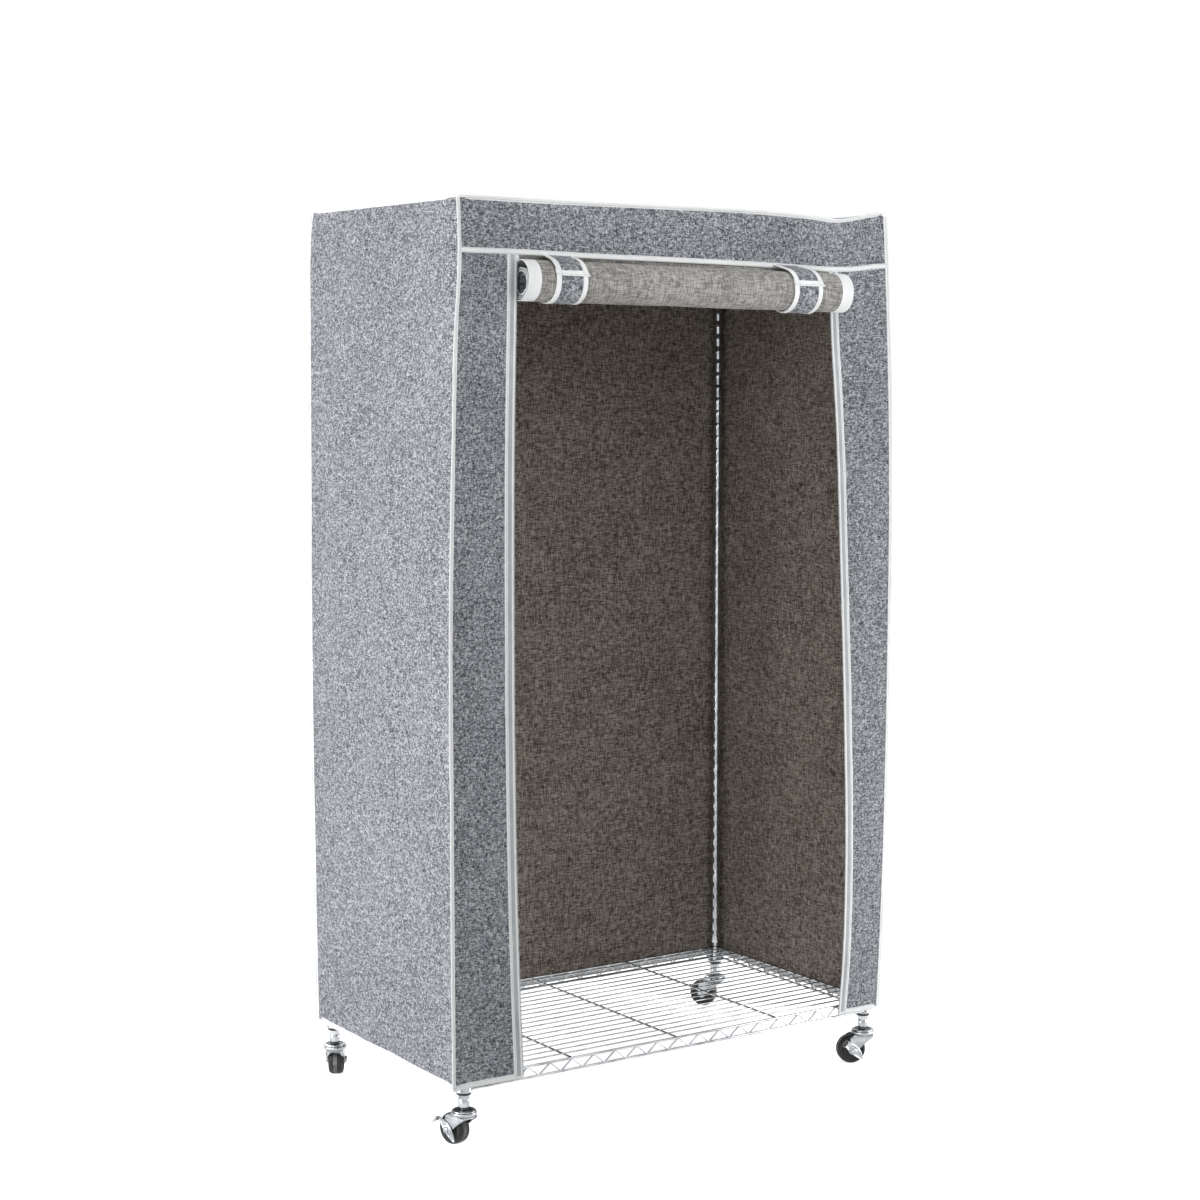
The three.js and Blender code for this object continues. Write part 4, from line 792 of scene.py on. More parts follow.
def zipTape(side, name):
    topZ = seamZ(side * cover["openingHalf"]) - 3
    z = stations(cover["hem"] + 5, float(topZ), 12)
    edge = pointsOf(openingEdge(side, z), frontY - 0.5, z)
    ahead = unit(np.gradient(edge, axis=0))
    across = unit(np.cross(ahead, [0, 1, 0]))
    across = across * np.sign(across[:, :1] * side)
    places = [0, 1.2, 4.6, 5.4, 6.2, 10.6, 11.4, 12.2, 16.8, cover["tape"]]
    lifts = [0, 0.5, 0.75, 0.15, 0.55, 0.55, 0.15, 0.7, 0.5, 0]
    flutter = 0.5 * waves(z, 0, 113 + side, 180)[:, None]
    points = np.stack([edge + across * c + np.array([0, -1, 0]) * (0.4 * l + flutter * c / cover["tape"])
                       for c, l in zip(places, lifts)], 1)
    tape = clothSheet(f"zip_tape_strip_{name}", toFrame(points), [whiteTape, whiteTape, greyRib], coverMiddle,
                      half=zipLook["thickness"] / 2000, slotGrid=[0, 0, 2, 2, 2, 2, 2, 0, 0])
    return tape, toFrame(edge), toFrame((points[:, 7] + points[:, 8]) / 2 + np.array([0, -1.1, 0]))


zipEdges, zipStitches = {}, []
for name, side in bothSides.items():
    tape, zipEdges[name], stitchLine = zipTape(side, name)
    zipStitches.append(stitchLine)
    settle(tape, "rack", "zip_tape", f"zip_tape_{name}")
print("zip tapes laid")


# rolled door: the sheet is wound round an axis from its left end to its right end

roll = {
    "left": (-337.5, -258.0, 1443.0), "right": (325.0, -290.0, 1430.5), "radius": 35, "pitch": 1.35, "cloth": 0.8,
    "looseFrom": 0.75, "looseTo": 1.6, "loose": 8, "drop": 4.5, "turns": 10.4375, "stepsPerTurn": 44,
    "outerEnd": -math.pi / 12, "bandStops": [0, 6, 12, 18, 23.2, 24], "bandTurns": 1.03, "recess": 3, "coreRecess": 6,
    "wobble": 0.16, "dent": 0.7,
}
rollLeft, rollRight = np.array(roll["left"]), np.array(roll["right"])
rollAxis = rollRight - rollLeft
rollAhead = unit(rollAxis)
rollAcross = unit(np.cross([0, 0, 1], rollAhead))
rollUp = np.cross(rollAhead, rollAcross)


def rollCentre(x):
    return rollLeft + rollAxis * ((np.asarray(x, float) - rollLeft[0]) / rollAxis[0])[..., None]


turns = np.linspace(0, roll["turns"], int(roll["turns"] * roll["stepsPerTurn"]) + 1)
angle = roll["outerEnd"] - 2 * math.pi * turns
slackness = smoothStep(roll["looseFrom"], roll["looseTo"], turns)
wobble = roll["wobble"] * np.sin(3 * angle + 1.0) * (1 - turns / roll["turns"])
radius = roll["radius"] - roll["cloth"] / 2 - roll["loose"] * slackness - roll["pitch"] * turns + wobble
length = np.linalg.norm(rollAxis)
bandStops = np.array(roll["bandStops"])
endBand, bandInner = bandStops[-1], bandStops[-2] + 0.1
alongPlaces = np.concatenate([bandStops, stations(endBand, length - endBand, 26)[1:-1], length - bandStops[::-1]])
spiral = np.stack([radius * np.cos(angle), radius * np.sin(angle) - roll["drop"] * slackness], -1)
share = alongPlaces / length
recess = roll["recess"] * smoothStep(1, 1.6, turns) + roll["coreRecess"] * smoothStep(5.4, 6.6, turns)
runAt = (recess[:, None] + alongPlaces * (1 - 2 * recess[:, None] / length)) / length   # inner turns end further in
points = (rollLeft + rollAxis * runAt[..., None]
          + rollAcross * spiral[:, None, :1] + rollUp * spiral[:, None, 1:])
dent = (roll["dent"] * np.sin(math.pi * share)[None, :]
        * waves(alongPlaces[None, :], 40 * angle[:, None], 131, 240))
points = points + (rollAcross * np.cos(angle)[:, None, None] + rollUp * np.sin(angle)[:, None, None]) * dent[..., None]
bandHalf = np.where((alongPlaces <= bandInner) | (alongPlaces >= length - bandInner), 0.00052, 0.0004)
bandHalf = np.tile(bandHalf, (len(turns), 1))
middles = (alongPlaces[1:] + alongPlaces[:-1]) / 2
inBand = (middles < endBand) | (middles > length - endBand)
slots = np.where(inBand[None, :] & (turns[:-1, None] < roll["bandTurns"]), 2, 0)
paleRimsPaintedLight = (turns < 2.2) | (np.abs(turns - 4.8) < 0.55)   # a thicker pale rim outside the coil, partly its real white binding and partly painted highlight, and one at its hole that is painted highlight
bandHalf[paleRimsPaintedLight & (turns > 1.5), :3] = bandHalf[paleRimsPaintedLight & (turns > 1.5), -3:] = 0.00066
# the ends of the other turns take the darker grey face cloth: painted shade deep in the coil
rimSlotsPaintedLight = np.where(paleRimsPaintedLight, 2, 1)[:-1]
for column in (0, -1):
    slots[:, column] = np.where(turns[:-1] < roll["bandTurns"], 2, rimSlotsPaintedLight)
rollMiddle = toFrame((rollLeft + rollRight) / 2)
doorRoll = clothSheet("rolled_sheet", toFrame(points), [reverseCloth, greyMelange, whiteTape], rollMiddle,
                      half=bandHalf, slotGrid=slots, sharp=60)
settle(doorRoll, "rolled_door", "reverse_cloth", "door_roll")
print("door rolled up")


# cloth that leaves the seam, touches the roll along a tangent and follows it round

def lapPath(x, startY, radiusAt, way, endAngle, steps, below=5.2):
    centre = rollCentre(x)
    start = np.array([startY, float(seamZ(x)) - below])
    reach = start - centre[1:]
    distance = np.linalg.norm(reach)
    first = math.atan2(reach[1], reach[0]) - way * math.acos(min(radiusAt(0) / distance, 1))
    touch = centre[1:] + radiusAt(0) * np.array([math.cos(first), math.sin(first)])
    straight = [start + (touch - start) * t for t in np.linspace(0, 1, 8)[:-1]]
    bend = []
    for share in np.arange(steps + 1) / steps:
        angle = first + (endAngle - first) * share
        bend.append(centre[1:] + radiusAt(share) * np.array([math.cos(angle), math.sin(angle)]))
    return np.array(straight + bend)


def bandOf(places, pathAt):
    rows = np.stack([pathAt(x) for x in places], 1)
    return pointsOf(np.asarray(places, float), rows[..., 0], rows[..., 1])


strapLook = {
    "width": 60, "places": {"left": -258, "right": 224}, "thickness": 1.3, "binding": 9.5, "bindingThickness": 2.2,
    "wrapBehind": 4.5, "wrapEnd": -1.17 * math.pi, "tabBefore": 1.4, "tabEnd": 0.93 * math.pi, "endOut": 4.5,
    "stitchLift": 1.2, "endStitchLift": 1.15,
}
outerRadius = roll["radius"] + roll["cloth"] / 2   # of the roll; each sheet that laps it lies on the one below
sheetRadius = outerRadius + 0.6
wrapBack, wrapFront = sheetRadius + 2.3, outerRadius + 0.8
tabRadius = wrapFront + 2.1

places = np.linspace(rollLeft[0] + 0.5, rollRight[0] - 0.5, 62)
points = bandOf(places, lambda x: lapPath(x, frontY, lambda s: sheetRadius, 1, roll["outerEnd"], 10))
doorSheet = clothSheet("hanging_sheet", toFrame(points), [greyMelange, reverseCloth], rollMiddle + [0, -1, 0])
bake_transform(doorSheet)
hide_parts("door_sheet")


def strapSheet(name, at, pathAt, boundRows):
    half, thick, thin = strapLook["width"] / 2, strapLook["bindingThickness"] / 2000, strapLook["thickness"] / 2000
    inner = half - strapLook["binding"]
    places = [inner * 0.5, inner, inner + 0.5, half - 1.4, half - 0.5, half]
    places = [-place for place in places[::-1]] + [0] + places
    halves = [thin, thin, thick, thick, thick * 0.85, thin * 0.5]
    halves = halves[::-1] + [thin] + halves
    slots = [2, 2, 2, 2, 0, 0, 0, 0, 2, 2, 2, 2]
    points = bandOf([at + p for p in places], pathAt)
    halves, slots = np.tile(halves, (len(points), 1)), np.tile(slots, (len(points) - 1, 1))
    if boundRows:   # its end is bound too, and the fold's corner pokes out
        slots[-boundRows:] = 2
        halves[-boundRows - 1:] = np.maximum(halves[-boundRows - 1:], strapLook["bindingThickness"] / 2000)
        poke = np.outer(np.linspace(0, 1, boundRows + 1) ** 2, smoothStep(0, 30, np.array(places)))
        points[-boundRows - 1:, :, 0] += strapLook["endOut"] * poke
    middle = toFrame(rollCentre(np.array(at)))
    materials = [greyMelange, reverseCloth, whiteTape]
    return clothSheet(name, toFrame(points), materials, middle, half=halves, slotGrid=slots), toFrame(points)


def liftedRow(points, inwards, middle, lift):   # a stitch line just above the cloth, in metres
    ahead = np.gradient(points, axis=0)
    normal = unit(np.cross(ahead, inwards))
    normal *= np.sign(np.sum(normal * (points - np.asarray(middle, float)), axis=1, keepdims=True))
    return points + normal * lift / 1000


def strapSeams(points):
    return [liftedRow(points[:, i], points[:, i + 1] - points[:, i], rollMiddle, strapLook["stitchLift"])
            for i in (3, len(points[0]) - 5)]


def wrapRadius(share):   # the wrap goes round the door's hanging part, then close to the roll
    return wrapBack + (wrapFront - wrapBack) * float(smoothStep(0.35, 0.6, share))


for name, at in strapLook["places"].items():
    wrap, wrapPoints = strapSheet(f"strap_back_{name}", at,
                                  lambda x: lapPath(x, frontY + strapLook["wrapBehind"], wrapRadius, 1,
                                                    strapLook["wrapEnd"], 44), 0)
    wrap = joined(f"strap_back_{name}", [wrap, stitchRow(f"wrap_{name}", strapSeams(wrapPoints))])
    settle(wrap, "rack", "grey_cloth", f"strap_wrap_{name}")
    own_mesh(wrap)
    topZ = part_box(f"strap_tab_{name}")[1].z * 1000 - drawnAbove - 1
    hung = float(seamZ(at)) - topZ   # the tab starts behind the seam band
    tab, tabPoints = strapSheet(f"strap_front_{name}", at,
                                lambda x: lapPath(x, frontY - strapLook["tabBefore"], lambda s: tabRadius, -1,
                                                  strapLook["tabEnd"], 18, hung), 4)
    settle(tab, f"tab_{name}", "grey_cloth", f"strap_tab_{name}")
    endSeam = liftedRow(tabPoints[-2], tabPoints[-2] - tabPoints[-3], rollMiddle, strapLook["endStitchLift"])
    tabStitches = settle(stitchRow(f"strap_stitches_{name}", strapSeams(tabPoints) + [endSeam]), f"tab_{name}",
                         "white_binding")
print("straps hung")


# stitches along the bindings, and the coils of the zips

stitches = []
for corner in cornerSides:
    seam, along, off = cornerRun(corner, stations(cover["panelBottom"], cover["panelTop"] - 4, 14))
    stitches += [toFrame(seam + along * finSize["seamAt"] + off * way * finSize["seamOff"]) for way in (-1, 1)]
for way in (-1, 1):
    ring = topRing + topAcross * finSize["seamAt"] + topOut * way * finSize["seamOff"]
    stitches.append(toFrame(np.concatenate([ring, ring[:1]])))
stitches += [toFrame(seamPath + seamUp * way * bandLook["stitchAt"] + seamOut * bandLook["stitchOff"])
             for way in (-1, 1)]
stitches.append(toFrame(hemPath + hemUp * hemLook["stitchAt"] + hemOut * hemLook["stitchOff"]))
stitches += zipStitches
bindingStitches = settle(stitchRow("binding_stitches", stitches), "rack", "white_binding")
for name, edge in zipEdges.items():
    coil = grown(f"zip_coil_{name}", edgeLine("coil", [edge + np.array([0, -0.0008, 0])]), grainsOfCoil, {
        "Spacing": zipLook["coilPitch"] / 1000, "Seed": 5,
        "Grain size": (zipLook["coilWidth"] / 2000, zipLook["coilHeight"] / 2000, zipLook["coilPitch"] / 2300)})
    settle(coil, "rack", "zip_tape")
print("stitches and coils set")
# rack: posts, split sleeves, wire shelves and hanging rod

rack = {
    "postX": 439, "postY": 235, "postRadius": 9.5, "foot": 49.5, "top": 1575.5, "grooveFrom": 56, "groovePitch": 25.4,
    "grooves": 59, "grooveDepth": 0.45, "sides": 24,
}
sleeveLook = {"bore": 9.7, "postSide": 9.8, "wallBottom": 2.8, "wallTop": 1.4, "height": 36, "split": 0.03}
shelfLook = {
    "rail": 4.5, "offset": 11, "zigzag": 3, "zigzagPitch": 44, "truss": 24, "deck": 2.8, "spacing": 25, "cross": 4,
    "crossCount": 3, "collarHeight": 30, "collarWall": 1.6,
}
shelfTops = {"lower": 109, "upper": 1560}


def barMesh(name, start, end, radius, sides=12):   # a straight round wire with eased ends
    start, end = np.array(start, float), np.array(end, float)
    ahead = unit(end - start)
    ease = radius * 0.45
    span = np.linalg.norm(end - start)
    stops, widths = [0, ease * 0.3, ease, span - ease, span - ease * 0.3, span], [0.55, 0.86, 1, 1, 0.86, 0.55]
    side = unit(np.cross(ahead, [0, 0, 1] if abs(ahead[2]) < 0.9 else [1, 0, 0]))
    up = np.cross(side, ahead)
    turn = 2 * math.pi * np.arange(sides) / sides
    ring = np.stack([np.cos(turn), np.sin(turn)], -1) * radius / 1000
    rings = np.stack([ring * w for w in widths])
    path = toFrame(start + ahead * np.array(stops)[:, None])
    return sweepMesh(name, path, np.tile(side, (6, 1)), np.tile(up, (6, 1)), rings, [chromePlate])


def postPlace(corner):
    side, end = cornerSides[corner]
    return lambda points: toFrame(np.asarray(points) + [side * rack["postX"], end * rack["postY"], 0])


def makePost(corner):
    radius, depth, pitch, start = rack["postRadius"], rack["grooveDepth"], rack["groovePitch"], rack["grooveFrom"]
    at, place = pitch / 2, postPlace(corner)
    groove = radius - depth
    profile = [(radius, 0), (radius, at - 1.5), (groove, at - 0.7), (groove, at + 0.7), (radius, at + 1.5),
               (radius, pitch)]
    ring = turnedMesh("ring", [(r, start + h) for r, h in profile], place, chromePlate, rack["sides"])
    grooved = grown("grooved", ring, repeatedChrome, {
        "Count": rack["grooves"], "Step": (0, 0, pitch / 1000), "Weld": weldDistance})
    low, upper, top = rack["foot"], start + pitch * rack["grooves"], rack["top"]
    foot = [(4.6, low), (7.2, low), (7.5, low + 0.3), (7.5, low + 2.8), (9.1, low + 3), (radius, low + 3.5),
            (radius, start)]
    cap = [(radius, upper), (radius, top - 3.9), (9.1, top - 2.1), (8, top - 0.7), (6, top), (0, top)]
    ends = [turnedMesh("end", profile, place, chromePlate, rack["sides"]) for profile in (foot, cap)]
    return facesOut(joined(f"tube_{corner}", [ends[0], grooved, ends[1]]))


def sleeveRadius(above):
    thinning = (sleeveLook["wallTop"] - sleeveLook["wallBottom"]) * (above / sleeveLook["height"])
    return sleeveLook["postSide"] + sleeveLook["wallBottom"] + thinning


def collarFoot(deckTop):
    return deckTop - shelfLook["deck"] / 2 - shelfLook["truss"] - (shelfLook["collarHeight"] - shelfLook["truss"]) / 2


def makeSleeve(name, corner, foot):   # two half shells with a slit between them and an eased lip
    height, bore = sleeveLook["height"], sleeveLook["bore"]
    low, high = sleeveRadius(0), sleeveRadius(height)
    profile = [(bore, 0.3), (bore + 0.4, 0), (low - 0.5, 0), (low, 0.5), (sleeveRadius(4), 4), (high, height - 0.4),
               (high - 0.4, height), (bore + 0.3, height), (bore, height - 0.3)]
    profile, upwards = np.array(profile) / 1000, np.tile([0.0, 0, 1], (17, 1))
    centre = postPlace(corner)(np.tile([0, 0, foot], (17, 1)))
    halves = []
    for half in (0, 1):
        angle = np.linspace(sleeveLook["split"], math.pi - sleeveLook["split"], 17) + half * math.pi + 0.35
        across = pointsOf(np.cos(angle), np.sin(angle), 0)
        halves.append(sweepMesh("half", centre, across, upwards, profile, [blackPlastic]))
    return joined(name, halves)


def makeShelf(name, deckTop):
    parts, zigzags = [], []
    deck, rail, truss, offset = (shelfLook[key] for key in ("deck", "rail", "truss", "offset"))
    bottom = deckTop - deck / 2 - truss
    railX, railY = rack["postX"] + offset, rack["postY"] + offset
    wall = shelfLook["collarWall"]
    mouth = math.sqrt((sleeveRadius(0) + wall) ** 2 - offset ** 2) - wall
    reach = {"x": rack["postX"] - mouth, "y": rack["postY"] - mouth}
    low, high = bottom + rail / 2, bottom + truss - rail / 2
    for way in (-1, 1):
        for z in (low, high):
            parts.append(barMesh("rail", (-reach["x"], way * railY, z), (reach["x"], way * railY, z), rail / 2))
            parts.append(barMesh("rail", (way * railX, -reach["y"], z), (way * railX, reach["y"], z), rail / 2))
        for key, still in (("x", railY), ("y", railX)):
            span = reach[key]
            count = 4 * max(1, round(2 * span / (2 * shelfLook["zigzagPitch"]))) - 2
            run = np.linspace(-span, span, count + 1)
            rise = np.where(np.arange(count + 1) % 2 == 0, low + 0.6, high - 0.6)
            row = [run, way * still]
            zigzags.append(toFrame(pointsOf(*(row if key == "x" else row[::-1]), rise)))
    parts.append(grown("zigzags", edgeLine("zigzags", zigzags), chromeWire, {
        "Wire radius": shelfLook["zigzag"] / 2000, "Bend radius": 0.004, "Sides": 10}))
    gaps = round(2 * railY / shelfLook["spacing"])
    wires = [   # the first of each kind of wire, and what repeats it
        ("deck", 0, deckTop - deck / 2, 2 * railY / gaps, gaps - 1, 10),
        ("cross", 1, deckTop - deck - shelfLook["cross"] / 2, 2 * railX / (shelfLook["crossCount"] + 1),
         shelfLook["crossCount"], 12),
    ]
    for kind, turned, z, step, count, sides in wires:
        ends = [(-railX + step, way * railY, z) if turned else (way * (railX + 1), -railY + step, z) for way in (-1, 1)]
        offsets = (step / 1000, 0, 0) if turned else (0, step / 1000, 0)
        parts.append(grown(kind, barMesh("wire", *ends, shelfLook[kind] / 2, sides), repeatedChrome, {
            "Count": count, "Step": offsets, "Weld": weldDistance}))
    foot = collarFoot(deckTop)
    for corner in cornerSides:
        inner = [(sleeveRadius(5 + h) + 0.3, foot + h) for h in (0.6, 29.6)]
        outer = [(sleeveRadius(5 + h) + 0.3 + wall, foot + h) for h in (29.4, 3.2)]
        lip = sleeveRadius(5) + 0.3
        profile = inner + [(inner[1][0] + 0.5, foot + 30), (outer[0][0] - 0.5, foot + 30)] + outer + [
            (lip + 2.2, foot + 2), (lip + 2.2, foot + 0.6), (lip + 1.7, foot), (lip + 0.4, foot)]
        parts.append(turnedMesh("collar", profile, postPlace(corner), chromePlate, 36, closed=True))
    return joined(name, parts)


for corner in cornerSides:
    settle(makePost(corner), "rack", "chrome_steel", f"post_{corner}")
    for level, deckTop in shelfTops.items():
        sleeve = makeSleeve(f"split_sleeve_{level}_{corner}", corner, collarFoot(deckTop) - 5)
        settle(sleeve, "rack", "black_plastic", f"{level}_sleeve_{corner}")
settle(makeShelf("wire_shelf_bottom", shelfTops["lower"]), "rack", "chrome_steel", "bottom_shelf")
settle(makeShelf("wire_shelf_top", shelfTops["upper"]), "rack", "chrome_steel", "top_shelf")
print("rack put up")

rodLook = {"z": 1448, "radius": 11, "wall": 1.2, "half": 449, "inner": 444.45, "thickness": 3, "width": 14, "rim": 5,
           "hookUnder": 1539.4, "hookOuter": 452.55, "drop": 9}
half, radius = rodLook["half"], rodLook["radius"]
ends = [(radius - rodLook["wall"], 0.4 - half), (radius - 0.8, -half), (radius - 0.3, -half), (radius, 0.4 - half)]
tube = turnedMesh("hanging_tube", ends + [(r, -z) for r, z in ends[::-1]],
                  lambda points: toFrame(points + [0, 0, rodLook["z"]]), chromePlate, 40, closed=True, axis="x")
settle(tube, "rack", "chrome_steel", "hanging_rod")
for name, side in bothSides.items():
    centre = rodLook["inner"] + rodLook["thickness"] / 2
    top, hang = rodLook["hookUnder"] + rodLook["thickness"] / 2, rodLook["hookOuter"] + rodLook["thickness"] / 2
    line = [(centre, rodLook["z"] + 13), (centre, top - 3), (centre + 0.9, top - 0.9), (centre + 3, top),
            (hang - 3, top), (hang - 0.9, top - 0.9), (hang, top - 3), (hang, rodLook["hookUnder"] - rodLook["drop"])]
    line = np.array([(side * x, 0, z) for x, z in line])
    ahead = unit(np.gradient(line, axis=0))
    strip = sweepMesh("strip", toFrame(line), np.tile([0.0, 1, 0], (len(line), 1)), np.cross(ahead, [0, 1, 0]),
                      roundedStrip(rodLook["width"] / 1000, rodLook["thickness"] / 1000), [chromePlate])
    bore, rim, halfWall = radius + 0.35, radius + 0.35 + rodLook["rim"], rodLook["thickness"] / 2
    edge = [(bore, 0.5 - halfWall), (bore + 0.5, -halfWall), (rim - 0.6, -halfWall), (rim, 0.6 - halfWall)]
    eye = turnedMesh("eye", edge + [(r, -z) for r, z in edge[::-1]],
                     lambda points: toFrame(points + [side * centre, 0, rodLook["z"]]), chromePlate, 40,
                     closed=True, axis="x")
    settle(joined(f"rod_hook_{name}", [strip, eye]), "rack", "chrome_steel", f"rod_bracket_{name}")
print("rod hung")


# casters, each drawn on its swivel axis with the wheel trailing along X, in millimetres

caster = {
    "trail": 22, "wheelRadius": 25, "legMiddle": 14.1, "sheet": 1.8, "boss": 7.5, "disc": 20.5,
    "headings": {"front_left": 1.77, "front_right": 2.76, "rear_left": 0.985, "rear_right": 2.2},
    "leverSlope": -0.75, "leverHalf": 23, "leverMiddle": 16.2, "padOut": 14.4,
    "scale": 1.08,   # the numbers here and below are those of a 50 mm wheel, and this one has 54
}


def casterPlace(corner):
    turn, (side, end) = caster["headings"][corner], cornerSides[corner]

    def place(points):
        x, y, z = np.moveaxis(np.asarray(points, float) * caster["scale"], -1, 0)
        return toFrame(pointsOf(x * math.cos(turn) - y * math.sin(turn) + side * rack["postX"],
                                x * math.sin(turn) + y * math.cos(turn) + end * rack["postY"], z - drawnAbove))
    return place


def atAxle(place):
    return lambda points: place(np.asarray(points) + [caster["trail"], 0, caster["wheelRadius"]])


def plateOf(name, points, place):   # pressed sheet metal from a grid of its middle
    inside = place(np.array([caster["trail"] - 8, 0, 30.0]))
    return clothSheet(name, place(points), [zincPlate, zincPlate], inside, half=caster["sheet"] / 2000, sharp=30)


forkLook = {
    "leadX": -15.2, "bridge": 33.5, "legTop": 47.6, "top": 50.7, "bendIn": 3.6, "bendUp": 3.1, "shoulder": 8.5,
    "swell": 0.9, "apronTop": 50.6, "arch": 46, "archDrop": 15, "apronRound": 2.6,
    "swellOver": 26, "shoulderDrop": 0.12, "apronLap": 1.2,
}


def makeFork(corner):
    place = casterPlace(corner)
    trail, boss, reach = caster["trail"], caster["boss"], caster["legMiddle"]
    axleZ, leadX, legTop = caster["wheelRadius"], forkLook["leadX"], forkLook["legTop"]
    share = np.linspace(0, 1, 15)
    topX = leadX + forkLook["bridge"] * share
    angle = math.pi * (1 + share)
    down = np.linspace(1, 0, 11)[:, None]
    shoulder = forkLook["shoulder"] * share ** 2   # the legs reach back past the bridge as a shoulder over the wheel
    legX = down * (trail + boss * np.cos(angle)) + (1 - down) * (topX + shoulder)
    legZ = down * (axleZ + boss * np.sin(angle)) + (1 - down) * (legTop - forkLook["shoulderDrop"] * shoulder)
    swollen = np.clip((legZ - axleZ) / forkLook["swellOver"], 0, 1)
    bow = forkLook["swell"] * np.sin(math.pi * swollen)   # the legs swell a little
    half = [pointsOf(legX, -reach - bow, legZ)]
    for turn in np.linspace(0.25, 1, 4) * math.pi / 2:
        left = shoulder * (1 - math.sin(turn))
        half.append(pointsOf(topX + left, -reach + forkLook["bendIn"] * (1 - math.cos(turn)),
                             legTop + forkLook["bendUp"] * math.sin(turn) - forkLook["shoulderDrop"] * left)[None])
    half.append(pointsOf(topX, -5.0, forkLook["top"])[None])
    half = np.concatenate(half)
    yoke = plateOf("yoke", np.concatenate([half, half[::-1] * [1, -1, 1]]), place)
    across = np.linspace(-1, 1, 17)   # apron that closes the leading side above the arch
    arch, apronTop = forkLook["arch"] - forkLook["archDrop"] * np.abs(across) ** 3, forkLook["apronTop"]
    z = apronTop + (arch - apronTop) * np.linspace(0, 1, 7)[:, None]
    lead = leadX + (apronTop - z) * (trail - boss - leadX) / (apronTop - axleZ)
    lead = lead - forkLook["apronRound"] * (1 - np.abs(across) ** 6) + forkLook["apronLap"]
    apron = pointsOf(lead, across * (reach + 0.3), z)
    disc = caster["disc"]
    flange = turnedMesh("flange", [
        (4.4, 51.6), (disc - 2.4, 51.6), (disc - 0.7, 52), (disc, 53.1), (disc, 55), (disc - 0.6, 56.2),
        (disc - 1.8, 56.6), (disc - 2.8, 56.2), (4.4, 56.2)], place, zincPlate, 48, closed=True)
    hubs, axle = [], atAxle(place)
    for way in (-1, 1):
        profile = [(6.9, 15.0), (6.7, 15.55), (5.9, 15.7), (3.3, 15.7), (3.3, 14.9)]
        hubs.append(turnedMesh("hub", [(r, way * y) for r, y in profile], axle, zincPlate, 32, closed=True, axis="y"))
    return joined(f"swivel_fork_{corner}", [yoke, plateOf("apron", apron, place), flange] + hubs)


def makeWheel(corner):
    side = [(3.4, -11.4), (3.8, -12), (7.6, -12), (8.2, -11.5), (9.2, -9.8), (16.8, -9.8), (18.2, -11), (19.4, -11.8),
            (20.8, -12), (22.3, -11.3), (23.4, -10), (24.2, -8.2), (24.7, -6.2), (24.92, -4.4), (25, -3.3)]
    profile = side + [(r, -y) for r, y in side[::-1]]
    slots = np.zeros(len(profile), int)
    slots[14] = 1   # the band that meets the ground
    return turnedMesh(f"tyre_{corner}", profile, atAxle(casterPlace(corner)), [blackRubber, greyTreadBand], 56, closed=True,
                      slots=slots, axis="y")


def makeAxle(corner, braked):
    place, near = atAxle(casterPlace(corner)), 15.8
    far = near + (2.6 if braked else 0)
    head = [(3, 0), (5.3, 0), (5.5, 0.3), (5.4, 1.3), (4.6, 2.2), (3, 2.75), (0, 3)]
    hexagon = head[:3] + [(5.5, 1.9), (4.9, 2.4), (3.2, 2.4), (3, 3), (0, 3.1)]
    nut = turnedMesh("nut", [(r, -near - h) for r, h in hexagon], place, zincPlate, 6, sharp=20, axis="y")
    dome = turnedMesh("dome", [(r, far + h) for r, h in head], place, zincPlate, 32, axis="y")
    pin = turnedMesh("pin", [(3, -near), (3, far)], place, zincPlate, 16, axis="y")
    return joined(f"axle_bolt_{corner}", [nut, pin, dome])


def makeStem(corner):
    profile = [(0, 50.4), (5.4, 50.4), (6, 50.8), (6, 51.3), (4, 51.3), (4, 56.95), (17.8, 56.95), (18.8, 57.3),
               (19, 57.9), (18.7, 58.7), (17.4, 59.25), (14.6, 59.45), (14.2, 59.1), (4.4, 59.1), (4, 59.5), (4, 85),
               (3, 85.5), (0, 85.5)]
    slots = np.zeros(len(profile) - 1, int)
    slots[5:11] = 1   # a plated rim round the black disc, whose black top is a painted reflection of dark surroundings in the swivel's polished dome
    return turnedMesh(f"stem_disc_{corner}", profile, casterPlace(corner), [blackPlastic, zincPlate], 40, slots=slots)


